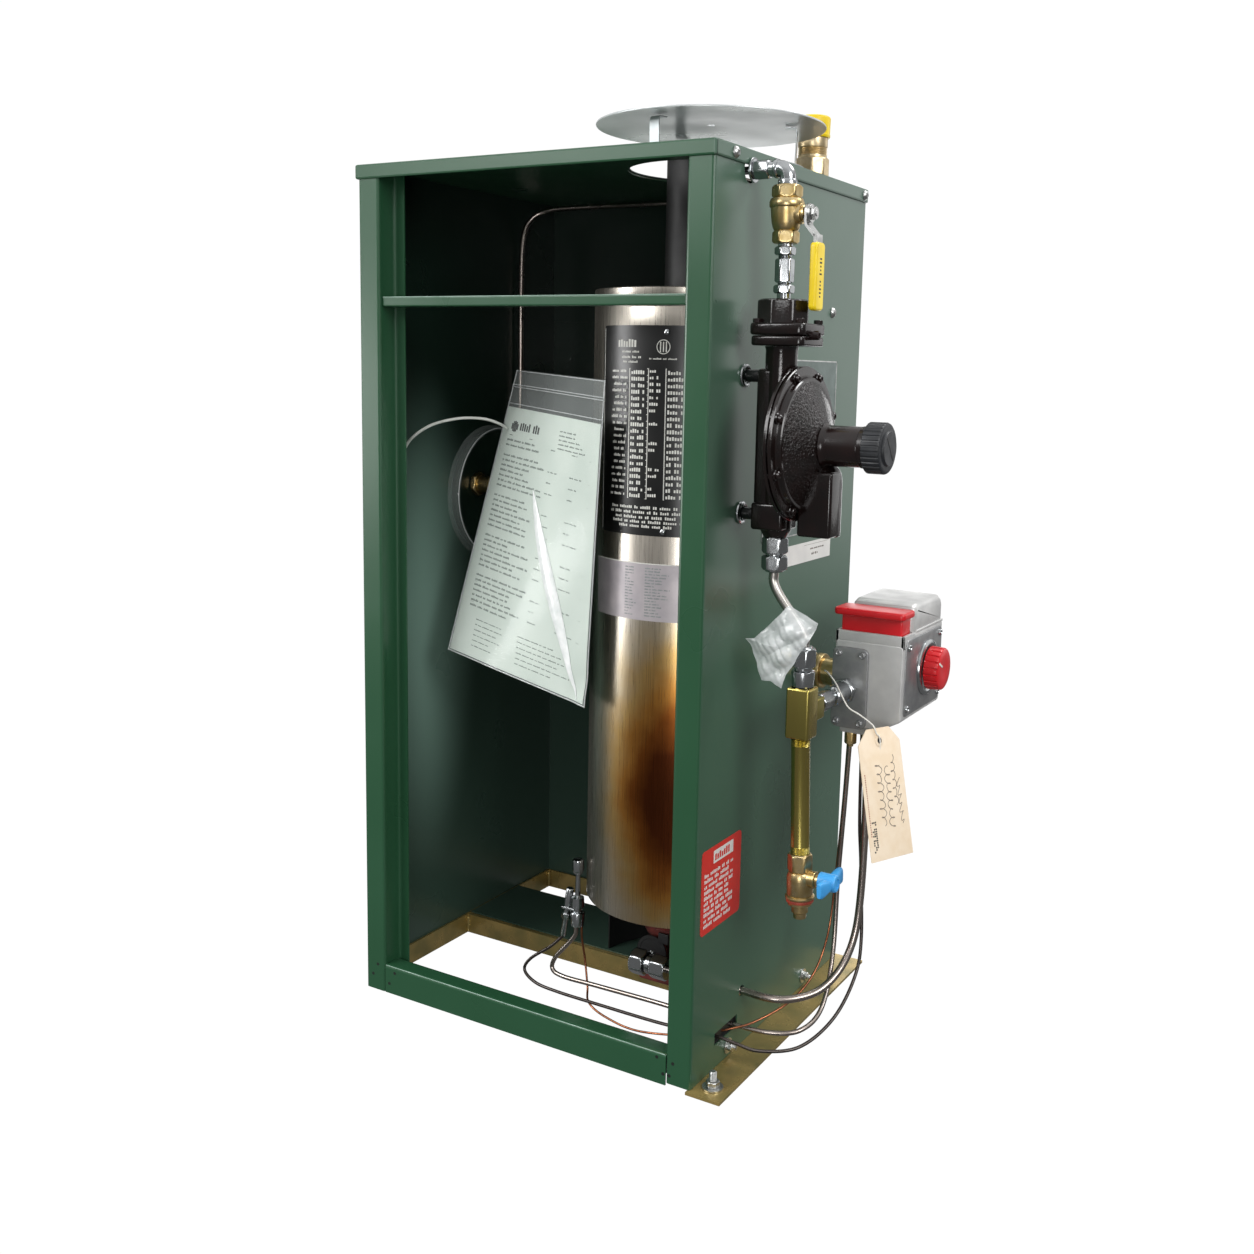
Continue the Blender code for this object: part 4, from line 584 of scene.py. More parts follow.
ventAt = centre("rain_cap")
capLow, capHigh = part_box("rain_cap")
capRadius = (capHigh[0] - capLow[0]) / 2
capFoot = capLow[2]
capProfile = [(0.004, 0.0046), (capRadius * 0.5, 0.003), (capRadius * 0.8, 0.0021),
              (capRadius - 0.002, 0.0016), (capRadius - 0.0004, 0.0018), (capRadius, 0.001),
              (capRadius - 0.0004, 0.0001), (capRadius - 0.003, 0.0003), (capRadius * 0.8, 0.001),
              (capRadius * 0.5, 0.0019), (0.004, 0.0034)]
putPiece("rain_cap_disc", [turnedRing(capProfile, (ventAt[0], ventAt[1], capFoot), "Z", 160)],
         "dullGalvanised", ["rain_cap"], sharp=60, slot="galvanised_sheet")

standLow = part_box("rain_cap_stand")[0]
standRadius = 0.089
reach = capFoot - standLow[2]
# each strap's line as (out past the stand's radius, up from its foot)
strapBend = [(0.011, 0), (0.004, 0), (0, 0.003), (0, 0.02), (0, reach - 0.0044), (-0.003, reach - 0.0019),
             (-0.012, reach - 0.0015)]
straps = []
for degrees in (140, 260, 20):
    turn = math.radians(degrees)
    outDir = np.array([math.cos(turn), math.sin(turn), 0])
    sideDir = np.array([-math.sin(turn), math.cos(turn), 0])
    foot = np.array([ventAt[0], ventAt[1], standLow[2] + 0.001])
    path = smoothRoute([foot + outDir * (standRadius + out) + (0, 0, rise) for out, rise in strapBend], 0.002)
    ahead = np.gradient(path, axis=0)
    normal = np.cross(ahead / np.linalg.norm(ahead, axis=1)[:, None], sideDir)
    half = np.linspace(-0.006, 0.006, 3)[None, :, None] * sideDir
    straps.append(slabShell(path[:, None] + half + normal[:, None] * 0.0005,
                            path[:, None] + half - normal[:, None] * 0.0005))
rimProfile = [(0.099, 0.0012), (0.0992, 0.0004), (0.099, 0.0), (0.083, 0.0), (0.0828, 0.0004),
              (0.083, 0.0012)]
straps.append(turnedRing(rimProfile, (ventAt[0], ventAt[1], standLow[2]), "Z", 120))
putPiece("rain_cap_straps", straps, "galvanisedSheet", ["rain_cap_stand"], slot="galvanised_sheet")

reliefAt = centre("relief_valve_body")
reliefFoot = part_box("relief_valve_body")[0][2]
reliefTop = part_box("relief_valve_body")[1][2]
reliefRows = ([(0.0, 0.043), (0.0006, 0.0438), (0.0024, 0.0438), (0.0032, 0.041), (0.0034, 0.035),
               (0.0064, 0.0345)] + nutRows(0.0066, 0.027, 0.0345, 8) + [(0.0272, 0.0318), (0.03, 0.0312)]
              + threadRows(0.0302, 0.038, 0.0322, 0.0016)
              + [(0.0384, 0.0325), (reliefTop - reliefFoot, 0.0325)])
putPiece("relief_valve_casting", [barShell(reliefRows, (reliefAt[0], reliefAt[1], reliefFoot), "Z", 72)],
         "paleBronze", ["relief_valve_body"], slot="brass")
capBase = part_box("relief_valve_cap")[0][2]
reliefCapRows = [(0.0, 0.036), (0.0008, 0.037), (0.003, 0.0372), (0.0034, 0.0362), (0.006, 0.0364),
                 (0.02, 0.0372), (0.0216, 0.036), (0.0226, 0.033), (0.023, 0.028), (0.0222, 0.025)]
putPiece("relief_valve_dust_cap", [barShell(reliefCapRows, (reliefAt[0], reliefAt[1], capBase), "Z", 72,
         ripple=(24, 0.0006, 0.0055, 0.0205))], "yellowVinyl", ["relief_valve_cap"])
print("roof")


# Tank, flue, skirt

tankAt = centre("tank_shell")
tankLow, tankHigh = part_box("tank_shell")
tankRadius = (tankHigh[0] - tankLow[0]) / 2
tank = {"foot": tankLow[2], "top": tankHigh[2], "wall": 0.002, "bead": 0.0006}
shellProfile = [(tankRadius - 0.0006, tank["top"]), (tankRadius, tank["top"] - 0.0008),
                (tankRadius, tank["top"] - 0.01), (tankRadius - tank["bead"], tank["top"] - 0.012),
                (tankRadius - tank["bead"], tank["top"] - 0.014), (tankRadius, tank["top"] - 0.016),
                (tankRadius, tank["foot"] + 0.0008), (tankRadius - 0.0006, tank["foot"]),
                (tankRadius - tank["wall"], tank["foot"]), (tankRadius - tank["wall"], tank["top"])]
putPiece("tank_shell_brushed", [turnedRing(shellProfile, (tankAt[0], tankAt[1], 0), "Z", 192)],
         "brushedStainless", ["tank_shell"])
heads = []
for name in ("tank_head_top", "tank_head_bottom"):
    low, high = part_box(name)
    outer = (high[0] - low[0]) / 2
    inner = 0.0345
    dish = [(outer, low[2]), (outer, high[2]), (outer * 0.8, high[2] + 0.0004), (inner + 0.004, high[2]),
            (inner, high[2] + 0.0006), (inner, low[2])]
    heads.append(turnedRing(dish, (tankAt[0], tankAt[1], 0), "Z", 128))
putPiece("tank_heads_pressed", heads, "brushedStainless", ["tank_head_top", "tank_head_bottom"])

flueLow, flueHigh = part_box("flue_pipe")
flueRadius = (flueHigh[0] - flueLow[0]) / 2
flueProfile = [(flueRadius, flueHigh[2] - 0.001), (flueRadius, flueLow[2]),
               (flueRadius - 0.0015, flueLow[2]), (flueRadius - 0.0015, flueHigh[2] - 0.0004),
               (flueRadius - 0.0008, flueHigh[2])]
putPiece("flue_pipe_painted", [turnedRing(flueProfile, (tankAt[0], tankAt[1], 0), "Z", 96)],
         "stoveBlackAndShade", ["flue_pipe"])

skirtLow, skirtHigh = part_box("tank_skirt")
skirtRadius = tankRadius - 0.001
openAngle = math.asin((skirtLow[1] - tankAt[1]) / skirtRadius)
around = np.linspace(openAngle, np.pi - openAngle, 80)
level = np.array([skirtLow[2], skirtLow[2] + 0.001, skirtHigh[2] - 0.001, skirtHigh[2]])
rings = [np.stack(np.broadcast_arrays(tankAt[0] + radius * np.cos(around)[None],
                                      tankAt[1] + radius * np.sin(around)[None], level[:, None]), -1)
         for radius in (skirtRadius, skirtRadius - 0.0015)]
putPiece("tank_skirt_painted", [slabShell(*rings)], "stoveBlackAndShade", ["tank_skirt"])
print("tank")


# Burner, orifice and pilot

mouth = np.array([0.088, front + 0.134, 0.066])
throatRows = [(0.0, 0.03), (0.0, 0.0352), (0.0012, 0.0362), (0.003, 0.036), (0.006, 0.031), (0.012, 0.0262),
              (0.03, 0.022), (0.052, 0.024)]
dishRows = [(0.0, 0.05), (0.003, 0.072), (0.006, 0.09), (0.012, 0.095), (0.018, 0.096), (0.0205, 0.092),
            (0.022, 0.084)]
shoe = blockShell((mouth[0] - 0.02, mouth[1] + 0.004, 0.0275),
                  (mouth[0] + 0.024, mouth[1] + 0.034, mouth[2] - 0.009), 0.003)
leg = blockShell((tankAt[0] - 0.012, front + 0.206, 0.026),
                 (tankAt[0] + 0.012, front + 0.214, mouth[2] + 0.012), 0.001)
putPiece("burner_iron", [barShell(throatRows, mouth, "Y", 64),
                         barShell(dishRows, (tankAt[0], tankAt[1] + 0.012, mouth[2] + 0.006), "Z", 96),
                         shoe, leg], "redOxideIron", ["burner"], slot="red_oxide_iron")
# the air shutter: a dark red ring on the burner's mouth, with a small wing
shutterRows = [(-0.0012, 0.029), (-0.0016, 0.03), (-0.0016, 0.0372), (-0.0006, 0.0378), (-0.0003, 0.0372)]
wing = blockShell((mouth[0] + 0.01, mouth[1] - 0.0052, mouth[2] + 0.014),
                  (mouth[0] + 0.023, mouth[1] - 0.002, mouth[2] + 0.026), 0.0008, "Y")
putPiece("air_shutter", [barShell(shutterRows, mouth, "Y", 64), wing], "stoveBlackAndShade", slot="red_oxide_iron")

holeY, holeZ = front + 0.109, 0.0635
elbowAt = (mouth[0] - 0.009, holeY, holeZ)
elbowRows = (nutRows(0.0, 0.017, 0.0255)
             + [(0.0172, 0.015), (0.0188, 0.015), (0.0192, 0.0205), (0.0238, 0.0205), (0.0242, 0.012)]
             + nutRows(0.025, 0.044, 0.024))
spudRows = (nutRows(0.0, 0.017, 0.01) + threadRows(0.0175, 0.0235, 0.0062, 0.001))
putPiece("orifice_elbow_plated", [barShell(elbowRows, elbowAt, "X", 72, 0.2),
                                  barShell(spudRows, (mouth[0], holeY, holeZ + 0.0005), "Y", 48)],
         "brightNickelPlate", ["orifice_elbow"])

pilotX, pilotY = 0.01, front + 0.1
pilotRows = [(0.0898, 0.0125), (0.0904, 0.0145), (0.105, 0.0162), (0.1062, 0.015), (0.1066, 0.01),
             (0.112, 0.01), (0.1124, 0.014), (0.113, 0.0152), (0.1235, 0.0142), (0.1245, 0.01),
             (0.126, 0.0062), (0.1495, 0.0052), (0.151, 0.0085), (0.1535, 0.0118), (0.156, 0.0132),
             (0.165, 0.0132), (0.1672, 0.0122), (0.168, 0.0098)]
sensorRows = ([(-0.034, 0.005), (-0.0335, 0.006), (-0.013, 0.006)] + nutRows(-0.012, -0.005, 0.0095)
              + [(-0.004, 0.0062), (0.001, 0.0062), (0.002, 0.0084), (0.024, 0.0088), (0.025, 0.0076)])
slant = Matrix.Translation((pilotX - 0.014, pilotY, 0.107)) @ Matrix.Rotation(math.radians(9), 4, "Y")
clip = blockShell((pilotX - 0.019, pilotY - 0.0045, 0.1075), (pilotX - 0.001, pilotY + 0.0045, 0.11),
                  0.0005)
putPiece("pilot_burner_plated", [barShell(pilotRows, (pilotX, pilotY, 0), "Z", 48),
                                 movedShell(barShell(sensorRows, (0, 0, 0), "Z", 48), slant), clip],
         "brightNickelPlate", ["pilot_burner"])
print("burner")


# Port on the left wall

portAt = np.array(centre("wall_port_plate"))
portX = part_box("wall_port_plate")[0][0]
portRadius = (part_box("wall_port_plate")[1][1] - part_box("wall_port_plate")[0][1]) / 2
port = (portX, portAt[1], portAt[2])
plateRows = [(0.0, 2 * portRadius), (0.001, 2 * portRadius), (0.0012, 2 * portRadius - 0.001),
             (0.0012, portRadius), (0.0008, portRadius * 0.96)]
# the disc takes the cabinet paint, with the painted shade inside and the painted sheen round the port
putPiece("wall_port_disc", [barShell(plateRows, port, "X", 96)], "powderCoatWithPaintedLight", ["wall_port_plate"],
         slot="black_steel")
rim = portRadius + 0.004
rimProfile = [(rim - 0.0012, 0.0152), (rim + 0.0006, 0.014), (rim + 0.0018, 0.009), (rim + 0.0026, 0.004),
              (rim + 0.003, 0.0), (rim - 0.001, 0.0), (rim - 0.0014, 0.008), (rim - 0.002, 0.0112),
              (rim - 0.0026, 0.0132), (rim - 0.0022, 0.0148)]
# painted highlight: a white line round the front edge of the clear rim
turn = np.linspace(0, 2 * np.pi, 120)
rimEdge = np.stack([np.full(turn.shape, port[0] + 0.0143), port[1] + (rim - 0.0002) * np.cos(turn),
                    port[2] + (rim - 0.0002) * np.sin(turn)], -1)
putPiece("wall_port_rim_highlight", [pipeShell(rimEdge, 0.0014, 8)], "milkyFilmAndHighlight", sharp=80)
putPiece("wall_port_clear_rim", [turnedRing(rimProfile, port, "X", 128)], "clearPvc",
         ["wall_port_rim"], sharp=60, slot="clear_film")
nippleRows = (nutRows(0.0, 0.007, 0.026) + [(0.0072, 0.02), (0.024, 0.02)] + nutRows(0.0242, 0.034, 0.025)
              + [(0.0341, 0.015)])
nippleAt = centre("port_nipple")
fittings = [barShell(nippleRows, (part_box("port_nipple")[0][0], nippleAt[1], nippleAt[2]), "X", 72, 0.15),
            barShell(nutRows(0.0, 0.01, 0.015), (portX + 0.0014, portAt[1] + 0.03, portAt[2] - 0.02), "X",
                     48, 0.3)]
putPiece("port_nipple_brass", fittings, "forgedBrass", ["port_nipple"])
print("port")


# Gas train on the right wall

inletZ, valveZ = 0.895, 0.8535
wallOut = rightWall + 0.004
elbowRows = ([(-0.034, 0.0074), (-0.001, 0.0074), (-0.0008, 0.0215), (-0.0002, 0.023), (0.001, 0.023),
              (0.0013, 0.022)] + nutRows(0.0014, 0.017, 0.0165)
             + [(0.0172, 0.014), (0.0215, 0.014), (0.0222, 0.0168), (0.0228, 0.0175), (0.0256, 0.0175),
                (0.0262, 0.0168), (0.0268, 0.014)])
bend = [(wallOut + 0.026, trainY, inletZ), (trainX - 0.0085, trainY, inletZ)]
turns = np.radians([15, 35, 55, 75])
bend += [(trainX - 0.0085 + 0.0085 * math.sin(t), trainY, inletZ - 0.0085 + 0.0085 * math.cos(t))
         for t in turns]
bend += [(trainX, trainY, inletZ - 0.0085), (trainX, trainY, valveZ + 0.0285)]
elbowPipe = pipeShell(smoothRoute(bend, 0.0012), 0.0154, 40)
collarRows = [(0.0, 0.0172), (0.0006, 0.0182), (0.004, 0.0182), (0.0048, 0.0172), (0.0052, 0.015)]
putPiece("inlet_elbow_cast", [barShell(elbowRows, (wallOut, trainY, inletZ), "X", 72, 0.25), elbowPipe,
                              barShell(collarRows, (trainX, trainY, valveZ + 0.0263), "Z", 56)],
         "brightNickelPlate", ["inlet_elbow"])

bodyRows = (nutRows(-0.0265, -0.015, 0.0225) + [(-0.0146, 0.0228), (-0.0125, 0.0248), (-0.008, 0.0272),
            (-0.002, 0.0288), (0.0055, 0.03), (0.0062, 0.0318), (0.0068, 0.0325), (0.0108, 0.0325),
            (0.0116, 0.0318), (0.0138, 0.03), (0.0142, 0.0262)] + nutRows(0.0145, 0.026, 0.0255))
bossRows = [(0.01, 0.019), (0.016, 0.019), (0.0166, 0.0182), (0.017, 0.015), (0.0188, 0.015),
            (0.0192, 0.0142), (0.0195, 0.0085), (0.021, 0.0085)]
valveAt = (trainX, trainY, valveZ)
putPiece("ball_valve_casting", [barShell(bodyRows, valveAt, "Z", 84, 0.12),
                                barShell(bossRows, valveAt, "X", 48)], "forgedBrass", ["ball_valve_body"])

pivotX = trainX + 0.0226
leverPath = smoothRoute([(pivotX, 0, valveZ + 0.0088), (pivotX, 0, valveZ), (pivotX, 0, valveZ - 0.0085),
                         (pivotX + 0.0016, 0, valveZ - 0.012), (pivotX + 0.0084, 0, valveZ - 0.02),
                         (pivotX + 0.01, 0, valveZ - 0.024), (pivotX + 0.01, 0, valveZ - 0.078)], 0.0015)
leverAhead = np.gradient(leverPath, axis=0)
leverNormal = np.cross(leverAhead / np.linalg.norm(leverAhead, axis=1)[:, None], (0, 1, 0))
# the strap's half width: full over most of it, drawn in along a circle at the eye's end
fromEnd = np.linalg.norm(leverPath - leverPath[0], axis=1)
halfWidth = 0.0075 * np.sqrt(np.clip(1 - np.clip(1 - fromEnd / 0.0075, 0, 1) ** 2, 0.03, 1))
acrossStrap = np.linspace(-1, 1, 5)[None, :, None] * halfWidth[:, None, None] * np.array([0, 1, 0])
strapMiddle = leverPath[:, None] + acrossStrap + np.array([0, trainY, 0])
strap = slabShell(strapMiddle + leverNormal[:, None] * 0.00125,
                  strapMiddle - leverNormal[:, None] * 0.00125)
leverNut = ([(0.0005, 0.015), (0.001, 0.0165), (0.0032, 0.0165), (0.0035, 0.016)]
            + nutRows(0.0036, 0.0075, 0.011) + [(0.0076, 0.0062), (0.0085, 0.005)])
putPiece("ball_valve_strap", [strap, barShell(leverNut, (pivotX, trainY, valveZ), "X", 48, 0.2)],
         "zincPlate", ["ball_valve_lever"], "lever")
gripLow, gripHigh = [np.array(v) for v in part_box("lever_grip")]
gripPoints, gripFaces = blockShell(gripLow, gripHigh, 0.0024, "X", 0.0045, 5)
narrowing = 1 - 0.06 * np.sin((gripPoints[:, 2] - gripLow[2]) / (gripHigh[2] - gripLow[2]) * np.pi)
gripPoints[:, 1] = trainY + (gripPoints[:, 1] - trainY) * narrowing
gripMarks = []                          # a line of generic stamped marks down the outer face
for step, markZ in enumerate(np.arange(gripLow[2] + 0.012, gripHigh[2] - 0.012, 0.0034)):
    if step % 6 != 5:
        reach = random.uniform(0.0012, 0.0026)
        gripMarks.append(blockShell((gripHigh[0] - 0.0003, trainY - reach, markZ),
                                    (gripHigh[0] + 0.0001, trainY + reach, markZ + 0.0016), 0.0001))
putPiece("lever_sleeve_marks", gripMarks, "inkBlack", body="lever", sharp=80, slot="yellow_vinyl")
putPiece("lever_sleeve", [(gripPoints, gripFaces)], "yellowVinyl", ["lever_grip"], "lever",
         sharp=50)

couplingLow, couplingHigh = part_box("inlet_coupling")
couplingRows = ([(0.0, 0.013), (0.005, 0.013)] + nutRows(0.0052, 0.013, 0.0175)
                + threadRows(0.0132, 0.015, 0.0132, 0.0009) + nutRows(0.0152, 0.037, 0.016)
                + threadRows(0.0372, 0.04, 0.013, 0.0009) + nutRows(0.0402, 0.048, 0.0175)
                + [(0.0482, 0.014), (couplingHigh[2] - couplingLow[2], 0.014)])
coupling = barShell(couplingRows, (trainX, trainY, couplingLow[2]), "Z", 72, 0.1)
putPiece("inlet_coupling_nuts", [coupling], "brightNickelPlate", ["inlet_coupling"])
print("inlet")


# Pressure regulator

plateZ, topZ, footZ = 0.733, 0.776, 0.553
caseX, caseY, caseZ = trainX + 0.0153, trainY + 0.004, 0.642
lowPlate = blockShell((trainX - 0.0215, trainY - 0.0262, plateZ),
                      (trainX + 0.0322, trainY + 0.0262, plateZ + 0.0092), 0.0022, "Z", 0.006)
highPlate = blockShell((trainX - 0.023, trainY - 0.027, plateZ + 0.0098), (trainX + 0.033, trainY + 0.027,
                       plateZ + 0.021), 0.0026, "Z", 0.007)
inletBoss = [(plateZ + 0.0185, 0.0545), (plateZ + 0.02, 0.0515, 0.048, 8),
             (plateZ + 0.0225, 0.0506, 0.0472, 8), (topZ - 0.0035, 0.0504, 0.047, 8),
             (topZ - 0.0015, 0.049, 0.047, 8), (topZ, 0.044, 0.044, 8), (topZ, 0.02)]
inlet = barShell(inletBoss, (trainX, trainY, 0), "Z", 96, 0.39)
putPiece("regulator_inlet_casting", [lowPlate, highPlate, inlet], "enamelledCasting", ["regulator_flange"])
headRows = nutRows(0.0, 0.004, 0.0078) + [(0.0041, 0.004)]
boltPlaces = [(trainX + x, trainY + y) for y in (-0.0205, 0.0205) for x in (-0.0165, 0.027)]
plug = barShell([(0.0, 0.0086), (0.008, 0.0086), (0.0094, 0.0078), (0.0098, 0.005), (0.0086, 0.0044)],
                (trainX + 0.031, trainY - 0.006, plateZ + 0.01), "X", 32)
putPiece("regulator_bolts", [barShell(headRows, (x, y, plateZ + 0.0208), "Z", 36, 0.3)
                             for x, y in boltPlaces] + [plug], "enamelSmooth")

neckRows = [(footZ, 0.0225), (footZ + 0.001, 0.024), (footZ + 0.005, 0.0285), (footZ + 0.007, 0.0298),
            (0.6, 0.03), (0.69, 0.03), (plateZ - 0.0035, 0.0302), (plateZ - 0.0004, 0.032)]
backBox = blockShell((trainX - 0.019, trainY - 0.014, 0.566), (trainX + 0.006, trainY + 0.026, 0.712),
                     0.004)
outletBox = blockShell((trainX - 0.019, trainY - 0.018, 0.56), (trainX + 0.014, trainY + 0.018, 0.586),
                       0.003)
putPiece("regulator_neck_casting", [barShell(neckRows, (trainX, trainY, 0), "Z", 64), backBox, outletBox],
         "enamelledCasting", ["regulator_body"])

# back to front: two bolted rims with a gap, a third step, then the domed cover
rimRows = [(0.0, 0.118), (0.0004, 0.133), (0.001, 0.144), (0.0016, 0.146), (0.0036, 0.146),
           (0.0042, 0.1448), (0.0044, 0.14), (0.0056, 0.14), (0.0058, 0.1448), (0.0064, 0.146),
           (0.0084, 0.146), (0.0092, 0.1444), (0.0096, 0.129), (0.0106, 0.1264), (0.0136, 0.125),
           (0.0146, 0.1228)]
domeRows = [(0.014, 0.122), (0.015, 0.115), (0.0166, 0.109), (0.019, 0.099), (0.0214, 0.088),
            (0.0236, 0.078), (0.0256, 0.068), (0.0274, 0.059), (0.029, 0.052), (0.0302, 0.047),
            (0.031, 0.044)]
lugs, lugScrews = [], []
for step in range(8):
    turn = math.radians(22.5 + 45 * step)
    lugY, lugZ = caseY + 0.0665 * math.cos(turn), caseZ + 0.0665 * math.sin(turn)
    lugs.append(barShell([(0.004, 0.01), (0.0044, 0.0108), (0.0106, 0.0108), (0.0112, 0.0098)],
                         (caseX, lugY, lugZ), "X", 32))
    lugScrews.append(barShell([(0.0111, 0.0074), (0.0116, 0.0078), (0.0132, 0.0074), (0.014, 0.0058),
                               (0.0142, 0.0036), (0.0132, 0.0032)], (caseX, lugY, lugZ), "X", 24))
ventRows = [(0.556, 0.032), (0.5561, 0.0344), (0.5568, 0.0356), (0.56, 0.036), (0.608, 0.0358),
            (0.615, 0.034), (0.62, 0.029), (0.624, 0.02)]
ventLip = blockShell((caseX + 0.011, caseY - 0.015, 0.556), (caseX + 0.045, caseY + 0.008, 0.618), 0.003)
arm = blockShell((caseX - 0.002, caseY - 0.008, 0.576), (caseX + 0.02, caseY + 0.008, 0.595), 0.003)
putPiece("diaphragm_case_casting", [barShell(rimRows, (caseX, caseY, caseZ), "X", 144),
         barShell(ventRows, (caseX + 0.027, caseY + 0.008, 0), "Z", 64), ventLip, arm] + lugs,
         "enamelledCasting", ["diaphragm_case"])
putPiece("diaphragm_cover_dome", [barShell(domeRows, (caseX, caseY, caseZ), "X", 144)], "hammeredEnamel",
         slot="dark_brown_casting")
putPiece("diaphragm_screws", lugScrews, "enamelSmooth")
bonnetX = caseX + 0.0313
bonnetRows = [(0.0, 0.041), (0.0008, 0.042), (0.0026, 0.04), (0.004, 0.0388), (0.007, 0.0382),
              (0.036, 0.038), (0.0372, 0.0372), (0.038, 0.039), (0.0426, 0.039), (0.043, 0.038)]
putPiece("spring_bonnet_casting", [barShell(bonnetRows, (bonnetX, caseY, caseZ), "X", 96)],
         "enamelSmooth", ["spring_bonnet"])
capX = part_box("bonnet_cap")[0][0]
knurlRows = [(0.0, 0.0455), (0.0008, 0.0475), (0.016, 0.0475), (0.0172, 0.0462), (0.018, 0.044),
             (0.0182, 0.04), (0.0184, 0.033), (0.02, 0.0322), (0.0205, 0.0312), (0.0205, 0.01)]
# painted shade: the slot in the cap is a darker bar on its face
slotAngle = math.radians(38)
slotBar = movedShell(blockShell((0.0198, -0.0016, -0.0135), (0.0208, 0.0016, 0.0135), 0.0004, "X"),
                     Matrix.Translation((capX, caseY, caseZ)) @ Matrix.Rotation(slotAngle, 4, "X"))
knurled = barShell(knurlRows, (capX, caseY, caseZ), "X", 240, ripple=(30, 0.0009, 0.0006, 0.0165))
putPiece("bonnet_cap_knurled", [knurled], "blackNylon", ["bonnet_cap"], "spring_cap", slot="black_plastic")
putPiece("bonnet_cap_slot", [slotBar], "stoveBlackAndShade", body="spring_cap", slot="black_plastic")
rods, washers = [], []
for name in ("standoff_upper", "standoff_lower"):
    low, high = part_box(name)
    rodAt = (low[0], (low[1] + high[1]) / 2, (low[2] + high[2]) / 2)
    washers.append(turnedRing([(0.0112, 0.0006), (0.0108, 0.002), (0.0094, 0.0026), (0.008, 0.002),
                               (0.0078, 0.0002), (0.0108, 0.0)], rodAt, "X", 56))
    rods.append(barShell([(0.0016, 0.012), (high[0] - low[0] - 0.0006, 0.012), (high[0] - low[0], 0.0112)],
                         rodAt, "X", 40))
putPiece("standoff_washers", washers, "brightNickelPlate", ["standoff_upper", "standoff_lower"])
putPiece("standoff_rods", rods, "satinBlack", slot="bright_plated_steel")
print("regulator")


# Below the regulator

lowerX, outletZ = 0.286, 0.385
outletRows = (nutRows(0.0, 0.016, 0.0225) + [(0.0165, 0.018), (0.0175, 0.018)]
              + nutRows(0.018, 0.032, 0.0225) + [(0.0322, 0.0182), (0.0334, 0.0178), (0.034, 0.016)])
putPiece("outlet_nuts_plated", [barShell(outletRows, (trainX, trainY, footZ - 0.0003), "-Z", 72, 0.25)],
         "brightNickelPlate", ["outlet_nuts"])
tubeTop, teeTop = footZ - 0.0349, outletZ + 0.025
tubeFoot = teeTop + 0.0409
offsetRoute = smoothRoute([(trainX, trainY, tubeTop), (trainX, trainY, tubeTop - 0.009),
                           (trainX + 0.006, trainY, tubeTop - 0.021),
                           (lowerX - 0.008, trainY, tubeFoot + 0.02), (lowerX, trainY, tubeFoot + 0.007),
                           (lowerX, trainY, tubeFoot)], 0.002)
putPiece("offset_tube_bent", [pipeShell(offsetRoute, 0.0095, 32)], "brightTube", ["offset_tube"],
         sharp=60, slot="bright_plated_steel")
teeNutRows = ([(0.0, 0.0195), (0.0006, 0.021), (0.003, 0.0216), (0.014, 0.023), (0.0154, 0.0224),
               (0.016, 0.0205), (0.0166, 0.0172), (0.019, 0.0172)] + nutRows(0.0195, 0.038, 0.0215)
              + [(0.0382, 0.017), (0.0392, 0.0162), (0.04, 0.015)])
putPiece("tee_nuts_plated", [barShell(teeNutRows, (lowerX, trainY, teeTop + 0.0003), "Z", 72, 0.4)],
         "brightNickelPlate", ["tee_nuts"])
tee = blockShell((lowerX - 0.012, trainY - 0.012, outletZ - 0.025),
                 (lowerX + 0.012, trainY + 0.012, teeTop), 0.0022)
branch = blockShell((lowerX - 0.0105, trainY + 0.009, outletZ - 0.0105), (lowerX + 0.0105, trainY + 0.0318,
                    outletZ + 0.0105), 0.0016, "Y")
collars = [barShell([(0.0, 0.022), (0.0006, 0.0232), (0.004, 0.0232), (0.0048, 0.0222)],
                    (lowerX, trainY, z), "Z", 48) for z in (outletZ - 0.025, outletZ + 0.0202)]
putPiece("tee_block_brass", [tee, branch] + collars, "drawnBrass", ["tee_block"])
unionLow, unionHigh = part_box("inlet_union")
unionLength = unionHigh[1] - unionLow[1]
unionRows = (threadRows(0.0, 0.006, 0.0134, 0.0012) + nutRows(0.0062, 0.03, 0.0175)
             + [(0.0304, 0.0122), (0.042, 0.0122), (0.0426, 0.018), (0.0436, 0.02),
                (unionLength - 0.0085, 0.0215), (unionLength - 0.0075, 0.0216)]
             + nutRows(unionLength - 0.0072, unionLength, 0.024))
putPiece("inlet_union_plated", [barShell(unionRows, (lowerX, unionLow[1], outletZ), "Y", 72, 0.3)],
         "brightNickelPlate", ["inlet_union"])

